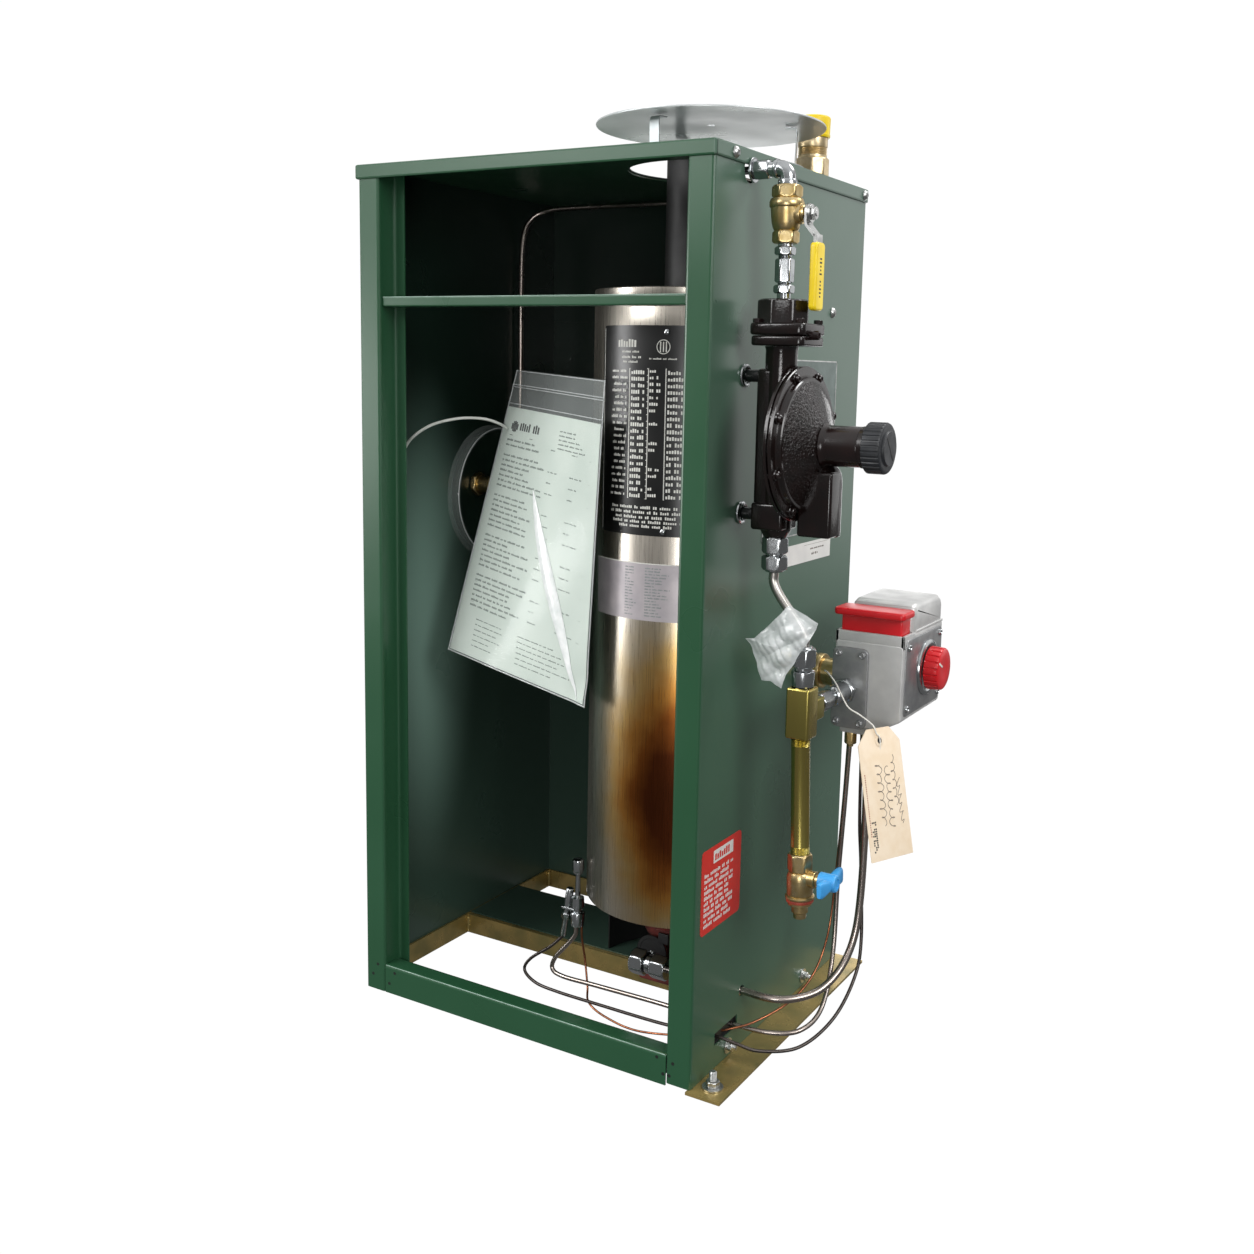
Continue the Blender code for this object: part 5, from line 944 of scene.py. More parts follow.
lean = Matrix.Translation((lowerX, trainY, outletZ - 0.025)) @ Matrix.Rotation(math.radians(-2), 4, "Y")
dripTop = -0.001
dripRows = (threadRows(dripTop - 0.115, dripTop - 0.108, 0.0188, 0.0014) + [(dripTop - 0.107, 0.0183),
            (dripTop - 0.008, 0.0183)] + threadRows(dripTop - 0.007, dripTop, 0.0188, 0.0014))
putPiece("drip_nipple_brass", [movedShell(barShell(dripRows, (0, 0, 0), "Z", 56), lean)],
         "drawnBrass", ["drip_nipple"])
cockTop = dripTop - 0.1153
stemZ = -0.166 + 0.025
cockRows = nutRows(0.0, 0.018, 0.0215) + [
    (0.0184, 0.0226), (0.02, 0.024), (0.023, 0.0255), (0.026, 0.026), (0.04, 0.026), (0.0418, 0.0252),
    (0.0424, 0.0278), (0.043, 0.029), (0.0446, 0.029), (0.0452, 0.028), (0.0455, 0.024), (0.0515, 0.024),
    (0.0522, 0.0225), (0.0525, 0.0165), (0.0595, 0.0165), (0.0602, 0.015), (0.0605, 0.013),
    (0.0652, 0.013), (0.066, 0.0122)]
stemRows = [(0.008, 0.0165), (0.0165, 0.0165), (0.017, 0.0158), (0.0175, 0.012), (0.021, 0.012)]
putPiece("drain_cock_casting", [movedShell(barShell(cockRows, (0, 0, cockTop), "-Z", 72, 0.2), lean),
                                movedShell(barShell(stemRows, (0, 0, stemZ), "X", 48), lean)],
         "forgedBrass", ["drain_cock_body"])
ringRows = [(0.0455, 0.0242), (0.0458, 0.027), (0.047, 0.0278), (0.0486, 0.027), (0.049, 0.0242)]
putPiece("drain_cock_washer", [movedShell(barShell(ringRows, (0, 0, cockTop), "-Z", 56), lean)], "redFibre",
         slot="red_oxide_iron")
hubRows = [(0.0213, 0.0165), (0.0218, 0.018), (0.037, 0.0172), (0.0384, 0.0164), (0.0392, 0.015),
           (0.0394, 0.0105), (0.0384, 0.01)]
wings = []
for side in (-1, 1):
    grid = []
    # each wing: its height grows from the hub to the tip and its thickness shrinks
    for share in np.linspace(0, 1, 10):
        y = side * (0.006 + 0.021 * share)
        tall = 0.0052 + 0.0028 * math.sin(share * 1.9)
        thick = 0.0052 - 0.002 * share
        if share > 0.94:
            tall, thick = tall * 0.86, thick * 0.7
        turn = np.radians(np.arange(0, 360, 15))
        power = 0.55
        x = 0.032 + thick * np.sign(np.cos(turn)) * np.abs(np.cos(turn)) ** power
        z = stemZ + tall * np.sign(np.sin(turn)) * np.abs(np.sin(turn)) ** power
        grid.append(np.stack([x, np.full_like(x, y), z], -1))
    wings.append(movedShell(tubeShell(np.array(grid)), lean))
putPiece("drain_cock_wings", [movedShell(barShell(hubRows, (0, 0, stemZ), "X", 56), lean)] + wings,
         "blueNylon", ["drain_cock_handle"], "drain_handle", slot="blue_plastic")
print("lower train")


# Control valve

valve = {"left": 0.272, "right": 0.346, "front": front + 0.182, "back": front + 0.303, "foot": 0.346,
         "shoulder": 0.447, "top": 0.477, "shankY": front + 0.235, "shankZ": 0.388, "knobY": front + 0.252,
         "knobZ": 0.404}


# A prism over a rounded convex outline: corners become arcs, and the end layers are drawn in a little
def prismShell(outline, start, end, axis, corner, edge):
    outline = np.array(outline, float)
    before, after = np.roll(outline, 1, 0) - outline, np.roll(outline, -1, 0) - outline
    before /= np.linalg.norm(before, axis=1)[:, None]
    after /= np.linalg.norm(after, axis=1)[:, None]
    t = np.linspace(0, 1, 6)[None, :, None]
    rounded = outline[:, None] + corner * ((1 - t) ** 2 * before[:, None] + t ** 2 * after[:, None])
    rounded = rounded.reshape(-1, 2)
    middle = (rounded.min(0) + rounded.max(0)) / 2
    half = (rounded.max(0) - rounded.min(0)) / 2
    layers = []
    for turn in np.linspace(0, np.pi / 2, 4):
        shrink = edge * (1 - math.sin(turn))
        layers.append((start + edge * (1 - math.cos(turn)),
                       middle + (rounded - middle) * (1 - shrink / half)))
    layers += [(start + end - level, ring) for level, ring in layers[::-1]]
    pick = {"X": lambda p, q: (q, p[:, 0], p[:, 1]), "Y": lambda p, q: (p[:, 0], q, p[:, 1]),
            "Z": lambda p, q: (p[:, 0], p[:, 1], q)}[axis]
    grid = [np.stack(np.broadcast_arrays(*pick(ring, level)), -1) for level, ring in layers]
    return tubeShell(np.array(grid))


shankRows = ([(-0.0168, 0.02), (-0.003, 0.02), (-0.0028, 0.0285), (-0.0022, 0.03), (0.0014, 0.03),
              (0.002, 0.029)] + nutRows(0.0022, 0.017, 0.034)
             + [(0.0172, 0.037), (0.018, 0.038), (0.0252, 0.038), (0.026, 0.037), (0.0262, 0.03),
                (valve["left"] - rightWall - 0.0005, 0.03)])
shank = barShell(shankRows, (rightWall, valve["shankY"], valve["shankZ"]), "X", 72, 0.1)
putPiece("thermostat_shank_brass", [shank], "forgedBrass", ["thermostat_shank"])

slope = (valve["right"], valve["foot"] + 0.012)
lowerOutline = [(valve["left"], valve["foot"]), (slope[0] - 0.0226, valve["foot"]), slope,
                (valve["right"], valve["shoulder"]), (valve["left"], valve["shoulder"])]
mainBlock = prismShell(lowerOutline, valve["front"] + 0.0305, valve["back"], "Y", 0.004, 0.003)
frontOutline = [(valve["left"], valve["foot"]), (slope[0] - 0.0226, valve["foot"]), slope,
                (valve["right"], valve["shoulder"] - 0.01), (valve["left"], valve["shoulder"] - 0.01)]
frontBlock = prismShell(frontOutline, valve["front"], valve["front"] + 0.034, "Y", 0.003, 0.0015)
cover = [(valve["front"] + 0.03, valve["shoulder"] - 0.004),
         (valve["back"] - 0.001, valve["shoulder"] - 0.004), (valve["back"] - 0.001, valve["top"] - 0.008),
         (valve["back"] - 0.012, valve["top"]), (valve["front"] + 0.038, valve["top"] - 0.001),
         (valve["front"] + 0.03, valve["top"] - 0.006)]
coverBlock = prismShell(cover, valve["left"] + 0.004, valve["right"] - 0.0006, "X", 0.006, 0.006)
walls = [blockShell((valve["left"], valve["front"] + 0.0002, valve["shoulder"] - 0.014),
                    (valve["left"] + 0.0033, valve["front"] + 0.032, valve["shoulder"]), 0.0006),
         blockShell((valve["right"] - 0.0033, valve["front"] + 0.0002, valve["shoulder"] - 0.014),
                    (valve["right"], valve["front"] + 0.032, valve["shoulder"]), 0.0006),
         blockShell((valve["left"], valve["front"] + 0.0002, valve["shoulder"] - 0.014),
                    (valve["right"], valve["front"] + 0.0034, valve["shoulder"]), 0.0006)]
base = blockShell((valve["left"] + 0.004, valve["front"] + 0.01, valve["foot"] - 0.01),
                  (valve["left"] + 0.04, valve["front"] + 0.05, valve["foot"] + 0.002), 0.0012)
seamLine = blockShell((valve["left"] - 0.0002, valve["front"] + 0.036, valve["shoulder"] - 0.0012),
                      (valve["right"] + 0.0006, valve["back"] - 0.002, valve["shoulder"] + 0.0016), 0.0007)
putPiece("valve_body_casting", [mainBlock, frontBlock, coverBlock, base, seamLine] + walls,
         "dieCastGrey", ["valve_body"], slot="grey_die_casting")
facePlate = prismShell([(valve["front"] + 0.006, valve["foot"] + 0.016),
                        (valve["back"] - 0.005, valve["foot"] + 0.016),
                        (valve["back"] - 0.005, valve["shoulder"] - 0.005),
                        (valve["front"] + 0.006, valve["shoulder"] - 0.005)], valve["right"] - 0.001,
                       valve["right"] + 0.0014, "X", 0.008, 0.0008)
putPiece("valve_face_plate", [facePlate], "dieCastDark")
bezelRows = [(-0.001, 0.056), (0.0006, 0.059), (0.0022, 0.06), (0.0036, 0.059), (0.0044, 0.056),
             (0.0046, 0.051), (0.0036, 0.048)]
faceScrews = [(valve["front"] + 0.013, valve["foot"] + 0.024),
              (valve["back"] - 0.012, valve["foot"] + 0.024),
              (valve["back"] - 0.012, valve["shoulder"] - 0.012),
              (valve["front"] + 0.013, valve["shoulder"] - 0.013)]
crossHead = [(0.0, 0.0074), (0.0008, 0.0076), (0.0018, 0.0066), (0.0022, 0.0046), (0.0012, 0.003)]
putPiece("valve_bezel", [barShell(bezelRows, (valve["right"], valve["knobY"], valve["knobZ"]), "X", 96)]
         + [barShell(crossHead, (valve["right"] + 0.0013, y, z), "X", 24) for y, z in faceScrews],
         "brightNickelPlate", slot="grey_die_casting")
plateLow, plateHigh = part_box("valve_inlet_plate")
inletPlate = prismShell([(plateLow[0], plateLow[2]), (plateHigh[0], plateLow[2]),
                         (plateHigh[0], plateHigh[2]), (plateLow[0], plateHigh[2])], plateLow[1],
                        plateHigh[1], "Y", 0.008, 0.0008)
inset = 0.0065
coverScrews = [barShell(crossHead, (x, plateLow[1], z), backwards, 24)
               for z in (plateLow[2] + inset, plateHigh[2] - inset)
               for x in (plateLow[0] + inset, plateHigh[0] - inset)]
putPiece("valve_inlet_cover", [inletPlate] + coverScrews, "dieCastDark", ["valve_inlet_plate"])
buttonLow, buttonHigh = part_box("pilot_button")
button = blockShell((valve["left"] + 0.0042, valve["front"] + 0.0042, buttonLow[2]),
                    (valve["right"] - 0.0042, valve["front"] + 0.0288, valve["shoulder"] + 0.018), 0.0015)
lid = blockShell((buttonLow[0], buttonLow[1], valve["shoulder"] + 0.0165),
                 (buttonHigh[0], buttonHigh[1], buttonHigh[2]), 0.0024, "Z", 0.005, 5)
putPiece("pilot_button_cap", [button, lid], "redAbs", ["pilot_button"], "button")
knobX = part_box("control_knob")[0][0]
knobRows = [(0.0, 0.043), (0.0006, 0.0452), (0.0015, 0.046), (0.011, 0.0452), (0.014, 0.0446),
            (0.0152, 0.0432), (0.016, 0.04), (0.016, 0.02), (0.0154, 0.012)]
pointer = movedShell(blockShell((0.0156, -0.0012, 0.008), (0.0164, 0.0012, 0.0195), 0.0004, "X"),
                     Matrix.Translation((knobX, valve["knobY"], valve["knobZ"]))
                     @ Matrix.Rotation(1.1, 4, "X"))
putPiece("control_knob_ribbed", [barShell(knobRows, (knobX, valve["knobY"], valve["knobZ"]), "X", 240,
         ripple=(20, 0.0012, 0.0012, 0.015))], "redAbs", ["control_knob"], "dial")
putPiece("control_knob_pointer", [pointer], "inkWhite", body="dial", slot="red_plastic")
print("valve")


# Tubes

foot = valve["foot"] - 0.0103
routes = {
    "burner_tube": ((0.302, 0.208, foot), (0.305, 0.205, 0.235), (0.306, 0.198, 0.155), (0.304, 0.188, 0.112),
                    (0.297, 0.17, 0.084), (0.285, 0.145, 0.068), (0.266, 0.121, 0.0635), (0.244, 0.109, 0.0635),
                    (rightWall, 0.109, 0.0635), (0.18, 0.109, 0.0635), (0.1233, 0.109, 0.0635)),
    "pilot_tube": ((0.286, 0.2, foot), (0.283, 0.2, 0.26), (0.28, 0.197, 0.171), (0.284, 0.182, 0.095),
                   (0.289, 0.145, 0.05), (0.279, 0.112, 0.036), (0.25, 0.094, 0.034), (rightWall, 0.089, 0.0345),
                   (0.17, 0.09, 0.031), (0.128, 0.093, 0.031), (0.044, 0.094, 0.029), (-0.004, 0.094, 0.028),
                   (-0.02, 0.095, 0.033), (-0.017, 0.097, 0.047), (0.0, 0.099, 0.068), (0.008, 0.1, 0.08),
                   (0.008, 0.1, 0.0897)),
    "sensor_lead": ((0.293, 0.214, foot), (0.297, 0.209, 0.239), (0.301, 0.208, 0.19), (0.31, 0.196, 0.112),
                    (0.311, 0.178, 0.075), (0.303, 0.142, 0.042), (0.283, 0.103, 0.023), (0.252, 0.074, 0.023),
                    (0.23, 0.063, 0.03), (rightWall, 0.058, 0.0345), (0.18, 0.064, 0.029), (0.13, 0.074, 0.02),
                    (0.048, 0.083, 0.014), (-0.006, 0.085, 0.013), (-0.036, 0.085, 0.016), (-0.053, 0.087, 0.026),
                    (-0.047, 0.09, 0.04), (-0.024, 0.096, 0.058), (-0.0118, 0.1, 0.0705), (-0.0098, 0.1, 0.0725)),
    "copper_tube": ((0.279, 0.212, foot), (0.277, 0.21, 0.257), (0.273, 0.207, 0.168), (0.272, 0.196, 0.11),
                    (0.27, 0.165, 0.075), (0.259, 0.13, 0.055), (0.236, 0.092, 0.042), (rightWall, 0.074, 0.035),
                    (0.18, 0.072, 0.02), (0.112, 0.07, 0.006), (0.066, 0.076, 0.006), (0.036, 0.086, 0.011),
                    (0.024, 0.101, 0.022), (0.016, 0.107, 0.05), (0.0135, 0.104, 0.075), (0.0135, 0.1035, 0.0897)),
    "gas_header": ((rightWall - 0.0308, 0.07, 0.895), (0.174, 0.0705, 0.8955), (0.166, 0.082, 0.8965),
                   (0.164, 0.12, 0.898), (0.164, 0.2, 0.9), (0.158, 0.255, 0.9005), (0.136, 0.288, 0.901),
                   (0.09, 0.297, 0.901), (0.0, 0.297, 0.901), (-0.12, 0.296, 0.901), (-0.175, 0.294, 0.899),
                   (-0.196, 0.286, 0.888), (-0.203, 0.279, 0.864), (-0.204, 0.277, 0.8), (-0.204, 0.277, 0.69),
                   (-0.202, 0.272, 0.65), (-0.19, 0.25, 0.615), (-0.177, 0.225, 0.59), (-0.1715, 0.205, 0.572)),
}
tubeLooks = {"burner_tube": ("drawn", 0.008, "drawnTube", "bright_plated_steel"),
             "pilot_tube": ("drawn", 0.005, "drawnTube", "bright_plated_steel"),
             "sensor_lead": ("sheathed", 0.0036, "darkSheath", "black_plastic"),
             "copper_tube": ("soft", 0.0024, "softCopper", "copper"),
             "gas_header": ("drawn", 0.0064, "drawnTube", "bright_plated_steel")}
for name, (kind, diameter, finish, slot) in tubeLooks.items():
    route = smoothRoute([(x, front + y, z) for x, y, z in routes[name]], 0.004)
    putPiece(f"{name}_{kind}", [pipeShell(route, diameter, 20)], finish, [name], sharp=80, slot=slot)
flareRows = nutRows(0.0, 0.013, 0.0115) + [(0.0131, 0.007), (0.016, 0.0066)]
tubeNuts = [barShell(flareRows, (x, front + y, foot + 0.0002), "-Z", 48, 0.3)
            for x, y in ((0.302, 0.208), (0.286, 0.2))]
putPiece("tube_nuts", tubeNuts, "forgedBrass")
print("tubes")


# Labels and their printed marks (meaningless strokes, no lettering)

# place(u, v, lift) gives points on a label's surface: u across, v up, lift outwards, in metres
def markShell(place, marks, low, high):
    marks = np.array(marks, float)
    u = marks[:, [0, 1, 1, 0, 0, 1, 1, 0]]
    v = marks[:, [2, 2, 3, 3, 2, 2, 3, 3]]
    lift = np.broadcast_to(np.array([low] * 4 + [high] * 4), u.shape)
    points = place(u.ravel(), v.ravel(), lift.ravel())
    corner = np.array([[4, 5, 6, 7], [3, 2, 1, 0], [0, 1, 5, 4], [1, 2, 6, 5], [2, 3, 7, 6], [3, 0, 4, 7]])
    faces = (np.arange(len(marks))[:, None, None] * 8 + corner).reshape(-1, 4)
    box = points[:8]
    across, up, out = box[1] - box[0], box[3] - box[0], box[4] - box[0]
    if np.cross(across, up) @ out < 0:
        faces = faces[:, ::-1]
    return points, faces.tolist()


def wordRow(start, end, base, height, letter, fill=1.0):
    marks, at = [], start
    stop = start + (end - start) * fill
    while at < stop:
        for _ in range(int(random.integers(2, 8))):
            if at + letter > stop:
                break
            top = height * random.uniform(0.6, 1.0)
            marks.append((at, at + letter * 0.68, base, base + top))
            at += letter
        at += letter * 1.1
    return marks


def frameLines(u0, u1, v0, v1, width):
    return [(u0, u1, v0, v0 + width), (u0, u1, v1 - width, v1), (u0, u0 + width, v0, v1),
            (u1 - width, u1, v0, v1)]


def onTank(u, v, lift):                 # u is an angle in degrees round the tank, v a height
    turn, radius = np.radians(u), tankRadius + lift
    return np.stack([tankAt[0] + radius * np.cos(turn), tankAt[1] + radius * np.sin(turn), v], -1)


def onRightWall(u, v, lift):            # u runs back along Y
    return np.stack([rightWall + lift, u, v], -1)


def labelShell(place, u0, u1, v0, v1, thickness, corner=(0.0, 0.0), columns=48, rows=12):
    u = np.linspace(u0, u1, columns)[None, :]
    v = np.linspace(v0, v1, rows)[:, None]
    if corner[0]:                       # each row drawn in near the top and bottom, for round corners
        v = v0 + (v1 - v0) * (1 - np.cos(np.linspace(0, np.pi, 28)[:, None])) / 2
        near = np.clip((corner[1] - np.minimum(v - v0, v1 - v)) / corner[1], 0, 1)
        shrink = corner[0] * (1 - np.sqrt(1 - near ** 2))
        middle, half = (u0 + u1) / 2, (u1 - u0) / 2
        u = middle + (u - middle) * (half - shrink) / half
    u, v = np.broadcast_arrays(u, v)
    outer = place(u.ravel(), v.ravel(), np.full(u.size, thickness)).reshape(*u.shape, 3)
    inner = place(u.ravel(), v.ravel(), np.full(u.size, 0.00002)).reshape(*u.shape, 3)
    return slabShell(outer, inner)


plate = {"left": -121, "right": -42, "low": 0.542, "high": 0.752, "thick": 0.0004}
putPiece("nameplate", [labelShell(onTank, plate["left"], plate["right"], plate["low"], plate["high"],
                                  plate["thick"], (3.0, 0.006), 96)], "labelBlack", slot="black_steel")
marks = frameLines(plate["left"] + 1.2, plate["right"] - 1.2, plate["low"] + 0.003, plate["high"] - 0.003,
                   0.0006)
marks = [(u0, u1 if u1 - u0 > 1 else u0 + 0.35, v0, v1) for u0, u1, v0, v1 in marks]
marks += wordRow(-100, -83, 0.7305, 0.0085, 1.9) + wordRow(-97, -85, 0.725, 0.0022, 0.9)
marks += wordRow(-97, -83, 0.7195, 0.0026, 1.0) + wordRow(-96, -86, 0.715, 0.0022, 0.9)
marks += wordRow(-79, -62, 0.7185, 0.0018, 0.7)
for column in ((-91.5, -79.5), (-69.5, -57.0)):         # two bordered columns of the table
    for level in np.linspace(0.579, 0.709, 21):
        marks.append((column[0], column[1], level, level + 0.0007))
        if level < 0.708:
            marks += wordRow(column[0] + 1.4, column[1] - 1.0, level + 0.0013, 0.0042, 1.45)
    marks += [(side, side + 0.45, 0.579, 0.7097) for side in column]
for level in np.linspace(0.58, 0.704, 20):            # the words beside them
    marks += wordRow(-105 + random.uniform(0, 3), -92.5, level + 0.0016, 0.003, 1.1)
    if random.random() < 0.75:
        marks += wordRow(-78.5, -71, level + 0.0016, 0.0032, 1.3, random.uniform(0.6, 1.0))
for level, reach in ((0.569, 23), (0.564, 24), (0.559, 20), (0.5545, 22), (0.55, 17)):
    marks += wordRow(-80 - reach, -80 + reach, level, 0.0031, 1.25)
# everything inside the frame sits a little left of the plate's middle
marks = marks[:4] + [(u0 - 7.0, u1 - 7.0, v0, v1) for u0, u1, v0, v1 in marks[4:]]
putPiece("nameplate_marks", [markShell(onTank, marks, plate["thick"] * 0.9, plate["thick"] + 0.00012)],
         "inkWhite")
emblem = [turnedRing([(0.0072, 0.0), (0.0072, 0.0002), (0.0064, 0.0002), (0.0064, 0.0)], (0, 0, 0), "Z",
                     40)]
spot = onTank(np.array([-78.0]), np.array([0.731]), np.array([plate["thick"]]))[0]
turn = math.radians(-78.0)
facing = Matrix(((-math.sin(turn), 0, math.cos(turn), spot[0]),
                 (math.cos(turn), 0, math.sin(turn), spot[1]), (0, 1, 0, spot[2]), (0, 0, 0, 1)))
emblem += [blockShell((x - 0.0006, -0.005, 0.0), (x + 0.0006, 0.005, 0.0002), 0.0001)
           for x in (-0.003, 0, 0.003)]
putPiece("nameplate_emblem", [outward(*movedShell(shell, facing)) for shell in emblem], "inkWhite")
rivetRows = [(0.0, 0.006), (0.0006, 0.0062), (0.0016, 0.0052), (0.0022, 0.003), (0.0024, 0.001)]
rivets = []
for turn, level in ((-76, 0.7455), (-76, 0.547)):
    spot = onTank(np.array([turn]), np.array([level]), np.array([plate["thick"]]))[0]
    out = np.array([math.cos(math.radians(turn)), math.sin(math.radians(turn)), 0])
    rivets.append(barShell(rivetRows, spot, (out, (-out[1], out[0], 0), (0, 0, 1)), 24))
putPiece("nameplate_rivets", rivets, "brightNickelPlate")

silver = {"left": -125, "right": -38, "low": 0.4545, "high": 0.5135}
putPiece("tank_label", [labelShell(onTank, silver["left"], silver["right"], silver["low"], silver["high"],
                                   0.00022, (0, 0), 96)], "labelSilver", slot="stainless_steel")
marks = []
for level in np.linspace(0.459, 0.508, 17):
    marks += wordRow(-99, -91, level, 0.0015, 0.45, random.uniform(0.3, 1.0))
    marks += wordRow(-86, -70, level, 0.0017, 0.55, random.uniform(0.35, 0.95))
putPiece("tank_label_marks", [markShell(onTank, marks, 0.0002, 0.0003)], "inkGrey", slot="stainless_steel")
edgeMarks = [(u, u + 3.05, silver["high"] - 0.0006, silver["high"] + 0.0004)
             for u in np.arange(silver["left"], silver["right"] - 2, 3)]
putPiece("tank_label_edge", [markShell(onTank, edgeMarks, 0.0002, 0.0005)], "inkWhite",
         slot="stainless_steel")

# on the outside of the right wall: a grey nameplate, a white strip and a red label
wallPlate = {"front": -0.06, "back": 0.115, "low": 0.538, "high": 0.722}
putPiece("wall_nameplate", [labelShell(onRightWall, wallPlate["front"], wallPlate["back"], wallPlate["low"],
         wallPlate["high"], 0.0005)], "anodisedPlate", slot="grey_die_casting")
border = frameLines(wallPlate["front"], wallPlate["back"], wallPlate["low"], wallPlate["high"], 0.0013)
putPiece("wall_nameplate_border", [markShell(onRightWall, border, 0.00045, 0.00075)], "zincPlate",
         slot="grey_die_casting")
marks = []
for level in np.linspace(0.556, 0.704, 16):
    marks += wordRow(wallPlate["front"] + 0.008, wallPlate["back"] - 0.012, level, 0.0026, 0.0017,
                     random.uniform(0.4, 1.0))
putPiece("wall_nameplate_marks", [markShell(onRightWall, marks, 0.00045, 0.00062)], "labelSilver",
         slot="grey_die_casting")
putPiece("wall_strip", [labelShell(onRightWall, -0.02, 0.117, 0.506, 0.5275, 0.0004)], "labelWhite",
         slot="white_nylon")
marks = wordRow(0.062, 0.1, 0.5185, 0.0018, 0.0013) + wordRow(0.066, 0.084, 0.5125, 0.0028, 0.0017)
marks += [(0.046, 0.109, 0.5242, 0.5245)]
putPiece("wall_strip_marks", [markShell(onRightWall, marks, 0.00035, 0.0005)], "inkPencil",
         slot="white_nylon")
red = {"front": -0.168, "back": -0.084, "low": 0.158, "high": 0.245}
putPiece("red_label", [labelShell(onRightWall, red["front"], red["back"], red["low"], red["high"], 0.0004,
         (0.005, 0.005))], "labelRed")
marks = [(red["front"] + 0.024, red["front"] + 0.066, 0.227, 0.24)]
for level in np.linspace(0.165, 0.217, 10):
    marks += wordRow(red["front"] + 0.006, red["back"] - 0.006, level, 0.004, 0.003,
                     random.uniform(0.72, 1.0))
putPiece("red_label_marks", [markShell(onRightWall, marks, 0.00035, 0.0005)], "labelWhite",
         slot="red_plastic")
marks = wordRow(red["front"] + 0.027, red["front"] + 0.064, 0.2295, 0.008, 0.0046)
putPiece("red_label_heading", [markShell(onRightWall, marks, 0.0005, 0.00062)], "labelRed")
print("labels")


# Document pouch and strap

corners = np.array([(-0.121, front + 0.158, 0.705), (0.066, front + 0.052, 0.697),
                    (0.046, front + 0.055, 0.356), (-0.158, front + 0.08, 0.388)])
outwards = np.cross(corners[1] - corners[0], corners[3] - corners[0])
outwards *= -np.sign(outwards[1]) / np.linalg.norm(outwards)


# u from the left edge, v down from the top. The sheet bellies forward by a sine each way, has slow
# folds fanning out from the strap's hole, and creases near its bottom right corner.
def onPouch(u, v, lift):
    u, v = np.asarray(u, float), np.asarray(v, float)
    point = ((1 - u) * (1 - v))[..., None] * corners[0] + (u * (1 - v))[..., None] * corners[1]
    point = point + (u * v)[..., None] * corners[2] + ((1 - u) * v)[..., None] * corners[3]
    belly = 0.004 * np.sin(np.pi * np.clip(u, 0, 1)) * np.sin(np.pi * np.clip(v, 0, 1))
    ripple = 0.0011 * np.sin(7.0 * u + 5.0 * v) * np.sin(np.pi * np.clip(u, 0, 1)) * v
    crease = 0.0022 * np.exp(-((u - 0.95) ** 2 + (v - 0.97) ** 2) / 0.006) * np.sin(26 * (u + v))
    return point + (belly + ripple + crease + lift)[..., None] * outwards


def pouchSlab(u0, u1, v0, v1, low, high, columns=40, rows=60):
    u, v = np.broadcast_arrays(np.linspace(u0, u1, columns)[None, :], np.linspace(v0, v1, rows)[:, None])
    return slabShell(onPouch(u, v, high), onPouch(u, v, low))


pouchEdge = {"zip": 0.118, "thick": 0.00025, "paper": 0.0004}
putPiece("pouch_paper", [pouchSlab(0.01, 0.99, pouchEdge["zip"] + 0.012, 0.992, 0.0, pouchEdge["paper"])],
         "bondPaper", slot="clear_film")
filmShells = [pouchSlab(0, 1, 0, 1, 0.00075, 0.00075 + pouchEdge["thick"], 48, 80),
              pouchSlab(0, 1, 0, 1, -0.0006 - pouchEdge["thick"], -0.0006, 48, 80)]
pouchFilm = putPiece("document_pouch_film", filmShells, "clearPolythene", ["document_pouch"], sharp=60,
                     slot="clear_film")
steps = np.linspace(0, 1, 60)
rail = np.zeros(60)
lines = [pipeShell(onPouch(steps, rail + level, rail + 0.0008), 0.0012, 8)
         for level in (0.004, 0.052, 0.06, pouchEdge["zip"])]
lines += [pipeShell(onPouch(rail + side, steps, rail), 0.0013, 8) for side in (0.0, 1.0)]
lines.append(pipeShell(onPouch(steps, rail + 0.998, rail), 0.0015, 8))
putPiece("document_pouch_seams", lines, "milkyFilmAndHighlight", sharp=60)

# a fold in the film from upper middle to the bottom right corner, painted white as a highlight
along = np.linspace(0, 1, 60)[:, None]
width = 0.15 * np.sin(np.pi * np.clip(along, 0.02, 0.99)) ** 0.8 * (1 - 0.5 * along)
side = np.linspace(-1, 1, 7)[None, :]
foldU = 0.46 + 0.475 * along + 0.02 * np.sin(3 * along) + side * width * 0.5
foldV = 0.385 + 0.6 * along + side * width * 0.1
foldLift = 0.0012 + 0.0016 * (1 - side ** 2) * np.sin(np.pi * along)
foldTop = onPouch(foldU, foldV, foldLift)
foldLow = onPouch(foldU, foldV, np.full(foldU.shape, 0.0009))
putPiece("pouch_fold_highlight", [slabShell(foldTop, foldLow)], "paintedFoldHighlight", sharp=80, slot="clear_film")


def onPaper(u, v, lift):
    return onPouch(u, 1 - v, lift)


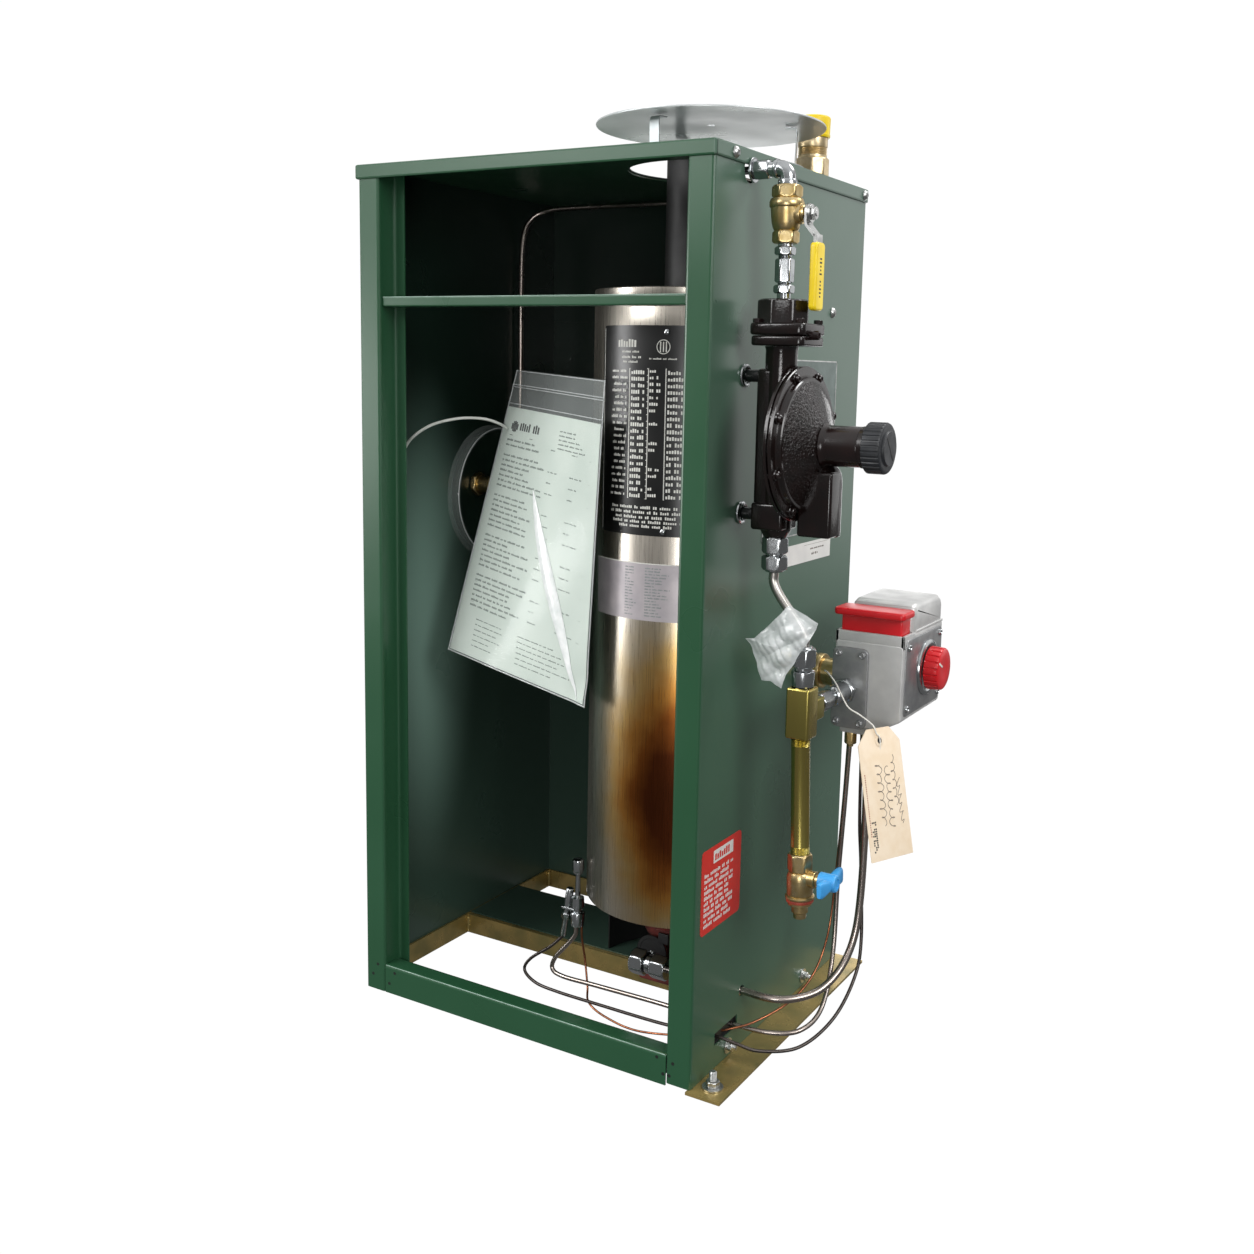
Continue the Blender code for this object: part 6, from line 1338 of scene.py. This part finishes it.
marks = [(0.1, 0.36, 0.7745, 0.7765)] + wordRow(0.2, 0.43, 0.796, 0.029, 0.024, 1.0)
marks += [(u, u + 0.014, 0.806 - h, 0.806 + h)
          for u, h in ((0.1, 0.01), (0.116, 0.017), (0.132, 0.019), (0.148, 0.017), (0.164, 0.01))]
putPiece("paper_heading", [markShell(onPaper, marks, pouchEdge["paper"] - 0.0001,
                                     pouchEdge["paper"] + 0.0001)], "inkBlack", slot="clear_film")
marks = []
for row, level in enumerate(np.linspace(0.175, 0.755, 34)):
    if row % 8 == 7:
        continue
    reach = random.uniform(0.24, 0.46)
    marks += wordRow(0.085, 0.085 + reach, level, 0.0076, 0.0105)
    if row % 2:
        marks += wordRow(0.56, 0.56 + random.uniform(0.03, 0.09), level, 0.0046, 0.0085)
        marks += wordRow(0.76, 0.76 + random.uniform(0.04, 0.14), level, 0.0046, 0.0085)
    if row % 4 == 1:
        marks.append((0.085, 0.93, level - 0.0042, level - 0.0032))
for level in np.linspace(0.045, 0.135, 6):
    marks += wordRow(0.16, 0.4, level, 0.0042, 0.008, random.uniform(0.5, 1))
    marks += wordRow(0.5, 0.9, level, 0.0042, 0.008, random.uniform(0.3, 1))
for level in np.linspace(0.765, 0.82, 5):
    marks += wordRow(0.62, 0.88, level, 0.0052, 0.009, random.uniform(0.6, 1))
putPiece("paper_marks", [markShell(onPaper, marks, pouchEdge["paper"] - 0.0001,
                                   pouchEdge["paper"] + 0.0001)], "inkPrint", slot="clear_film")

strapRoute = smoothRoute([(-0.2089, front + 0.064, 0.612), (-0.195, front + 0.062, 0.627),
                          (-0.174, front + 0.07, 0.642), (-0.15, front + 0.088, 0.65),
                          (-0.131, front + 0.108, 0.65), (-0.12, front + 0.122, 0.645),
                          (-0.1175, front + 0.1338, 0.6395)], 0.003)
putPiece("pouch_strap_nylon", [pipeShell(strapRoute, 0.0032, 12)], "whiteNylon", ["pouch_strap"],
         sharp=80, slot="white_nylon")
print("pouch")


# Bag over the offset tube

# outline worked round the tube: a pinched neck above, a wide crumpled middle, a point below
bagMiddle = np.array([0.269, trainY - 0.015, 0.45])
bagEdge = np.array([(0.2756, 0.4903), (0.306, 0.4766), (0.299, 0.461), (0.2947, 0.4542), (0.2875, 0.445),
                    (0.2821, 0.4332), (0.2745, 0.423), (0.2705, 0.4091), (0.26, 0.415), (0.249, 0.414),
                    (0.244, 0.43), (0.2372, 0.4449), (0.2305, 0.453), (0.24, 0.4545), (0.25, 0.464),
                    (0.26, 0.474), (0.2676, 0.4817), (0.272, 0.488)])
edgeSteps = np.linspace(0, len(bagEdge), 90, endpoint=False)
bagEdge = np.stack([np.interp(edgeSteps, np.arange(len(bagEdge) + 1),
                              np.append(bagEdge[:, i], bagEdge[0, i])) for i in (0, 1)], -1)
bagGrid, bagBack = [], []
for share in np.linspace(0.02, 1, 26):
    x = bagMiddle[0] + (bagEdge[:, 0] - bagMiddle[0]) * share
    z = bagMiddle[2] + (bagEdge[:, 1] - bagMiddle[2]) * share
    # crumples: sharp ridges made from the absolute value of crossed sines
    crumple = 0.0046 * np.abs(np.sin(60 * x + 95 * z)) + 0.0034 * np.abs(np.sin(150 * z - 90 * x + 1))
    crumple = crumple + 0.0012 * np.abs(np.sin(390 * x + 250 * z))
    y = bagMiddle[1] - crumple * (1 - 0.5 * share ** 3) + 0.003 * share
    bagGrid.append(np.stack([x, y, z], -1))
    bagBack.append(np.stack([x, y + 0.0003, z], -1))
bagFront, bagRear = np.array(bagGrid), np.array(bagBack)
closedBag = tubeShell(np.concatenate([bagFront, bagRear[::-1]]))
bag = putPiece("tube_bag_film", [closedBag], "milkyFilmAndHighlight", ["tube_bag"], sharp=40)


# Card tag and its string

tagTurn = Matrix.Translation((0.348, front + 0.142, 0.296)) @ (
    Matrix.Rotation(1.2509, 4, "Z") @ Matrix.Rotation(0.0615, 4, "Y") @ Matrix.Rotation(-0.2606, 4, "X"))
tagHalf, tagTall, tagClip = 0.0325, 0.0645, 0.015
tagOutline = [(-tagHalf, -tagTall), (tagHalf, -tagTall), (tagHalf, tagTall - tagClip),
              (tagHalf - tagClip, tagTall), (tagClip - tagHalf, tagTall), (-tagHalf, tagTall - tagClip)]
cardShell = movedShell(prismShell(tagOutline, -0.0004, 0.0004, "Y", 0.0008, 0.0001), tagTurn)
tag = putPiece("card_tag_manila", [cardShell], "manilaCard", ["card_tag"])


def onTag(u, v, lift):                  # the printed face is the card's local -Y
    local = np.stack([u, -lift, v], -1)
    return local @ np.array(tagTurn)[:3, :3].T + np.array(tagTurn)[:3, 3]


holeZ = tagTall - 0.0125
patchRows = [(0.0004, 0.0125), (0.0008, 0.0125), (0.001, 0.0118), (0.001, 0.0052), (0.0004, 0.0048)]
patchPoints, patchFaces = turnedRing([(size / 2, lift) for lift, size in patchRows], (0, 0, holeZ), "Y", 40)
tagPatch = putPiece("tag_eyelet", [outward(*movedShell((patchPoints * (1, -1, 1), patchFaces), tagTurn))],
                    "manilaCard")
# painted shade: the hole shows as a black disc
holeDisc = movedShell(barShell([(0.0004, 0.0062), (0.0012, 0.0062)], (0, 0, holeZ), backwards, 24), tagTurn)
tagHole = putPiece("tag_hole", [holeDisc], "stoveBlackAndShade", slot="manila_card")
scribbles = []                          # handwriting that runs lengthwise: loops along the card, not letters
for column, low, high, wide in ((-0.006, -0.03, 0.03, 0.005), (0.006, -0.036, 0.026, 0.0046),
                                (0.016, -0.012, 0.034, 0.0034), (0.022, -0.034, 0.01, 0.003)):
    t = np.linspace(0, 1, 150)
    loops = (high - low) / 0.0085
    v = low + (high - low) * t + 0.0022 * np.sin(2 * np.pi * loops * t + column * 300)
    swell = 0.45 + 0.55 * np.abs(np.sin(9.0 * t + column * 90))
    u = column + wide * np.sin(2 * np.pi * loops * t) * swell
    scribbles.append(pipeShell(onTag(u, v, np.full(t.shape, 0.00045)), 0.00062, 6))
tagMarks = putPiece("tag_marks", scribbles, "inkPencil", sharp=80, slot="manila_card")
marks = [(-0.0285, -0.0275, v, v + 0.0014) for v in np.arange(-0.04, 0.02, 0.0022)]
tagPrint = putPiece("tag_print", [markShell(onTag, marks, 0.0003, 0.0005)], "redFibre", slot="manila_card")
marks = [(u, u + 0.0018, v, v + 0.0016) for u in np.arange(-0.026, -0.021, 0.0024)
         for v in np.arange(-0.056, -0.026, 0.0022) if random.random() < 0.7]
tagBlock = putPiece("tag_code_block", [markShell(onTag, marks, 0.0003, 0.0005)], "inkBlack",
                    slot="manila_card")

shankY, shankZ = valve["shankY"], valve["shankZ"]
stringPoints = [(0.2461, shankY - 0.0162, shankZ + 0.0038), (0.258, front + 0.19, 0.3995),
                (0.272, front + 0.167, 0.4025), (0.2874, front + 0.15, 0.3975),
                (0.298, front + 0.139, 0.39), (0.3087, front + 0.133, 0.3795),
                (0.3195, front + 0.137, 0.3725), (0.3314, front + 0.1428, 0.3625),
                (0.3346, front + 0.1454, 0.3542), (0.3373, front + 0.149, 0.348)]
# the tied ends hang down behind the card
stringPoints += [tuple(onTag(np.array([u]), np.array([v]), np.array([-0.0014]))[0])
                 for u, v in ((0.0, tagTall - 0.03), (0.001, 0.012), (0.0, -0.03))]
stringRoute = smoothRoute(stringPoints, 0.0015)
string = putPiece("tag_string_cotton", [pipeShell(stringRoute, 0.0016, 12)], "cottonString",
                  ["tag_string"], sharp=80, slot="white_nylon")
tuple(stringPoints[0])
print("soft pieces")


# Camera, studio and lights

def placed(across, up, back, place):    # a matrix from three axes and a place, one to a column
    pose = np.eye(4)
    pose[:3] = np.stack([across, up, back, place], 1)
    return Matrix(pose.tolist())


view = {"place": (0.7841, -1.2431, 0.7084), "azimuth": -30.062, "elevation": -8.396, "roll": 1.302,
        "lens": 37.61, "shift": (-0.0291, -0.0507)}
azimuth, elevation, roll = [math.radians(view[key]) for key in ("azimuth", "elevation", "roll")]
forward = np.array([math.sin(azimuth) * math.cos(elevation), math.cos(azimuth) * math.cos(elevation),
                    math.sin(elevation)])
right = np.array([math.cos(azimuth), -math.sin(azimuth), 0])
up = np.cross(right, forward)
turnedRight = math.cos(roll) * right + math.sin(roll) * up
turnedUp = -math.sin(roll) * right + math.cos(roll) * up
lens = bpy.data.cameras.new("camera")
lens.lens, lens.sensor_width = view["lens"], 36
lens.shift_x, lens.shift_y = view["shift"]
camera = bpy.data.objects.new("camera", lens)
camera.matrix_world = placed(turnedRight, turnedUp, -forward, view["place"])
bpy.context.scene.collection.objects.link(camera)
bpy.context.scene.camera = camera

# a white studio: white to the camera, but a darker room for the object, brighter overhead than below
world = bpy.data.worlds.new("studio")
world.use_nodes = True
tree = world.node_tree
direction = addNode(tree, "ShaderNodeTexCoord").outputs["Generated"]
height = addNode(tree, "ShaderNodeSeparateXYZ", None, {"Vector": direction})
room = addNode(tree, "ShaderNodeValToRGB", None, {"Fac": height.outputs["Z"]})
for element, position, grey in zip(room.color_ramp.elements, (0.0, 0.75), (0.16, 0.95)):
    element.position = position
    element.color = (grey, grey, grey, 1)
seen = addNode(tree, "ShaderNodeLightPath").outputs["Is Camera Ray"]
backdrop = (1.02, 1.02, 1.02, 1)
# a colour mix's sockets: 0 the factor, 6 and 7 the two colours, and 2 its output
mixed = addNode(tree, "ShaderNodeMix", {7: backdrop}, {0: seen, 6: room.outputs["Color"]}, data_type="RGBA")
tree.links.new(mixed.outputs[2], tree.nodes["Background"].inputs["Color"])
bpy.context.scene.world = world
bpy.context.scene.view_settings.view_transform = "Standard"


# each light: its place, the point it faces, its size in metres and its power in watts
lights = {"key": ((-1.4, -2.2, 2.0), (0, 0, 0.5), 1.5, 48),
          "side": ((2.2, -0.9, 1.5), (0.2, 0, 0.5), 1.2, 26),
          "low": ((1.1, -2.4, 0.5), (-0.1, 0, 0.4), 0.8, 14),
          "band": ((-2.3, -1.6, 0.6), (0.1, 0, 0.35), 0.9, 26),
          "behind": ((1.7, 2.9, 1.0), (0.2, 0, 0.7), 2.0, 9),
          "high": ((1.3, 1.3, 2.7), (0.2, 0, 0.7), 1.0, 34),
          "under": ((-0.8, 2.0, 0.15), (0.1, 0, 0.98), 2.4, 24)}
for name, (place, target, size, power) in lights.items():
    lamp = bpy.data.lights.new(name, "AREA")
    lamp.shape, lamp.size, lamp.energy = "DISK", size, power
    light = bpy.data.objects.new(name, lamp)
    aim = np.array(target, float) - np.array(place, float)
    aim /= np.linalg.norm(aim)
    across = np.cross(aim, (0, 0, 1))
    across /= np.linalg.norm(across)
    light.matrix_world = placed(across, np.cross(across, aim), -aim, place)
    bpy.context.scene.collection.objects.link(light)
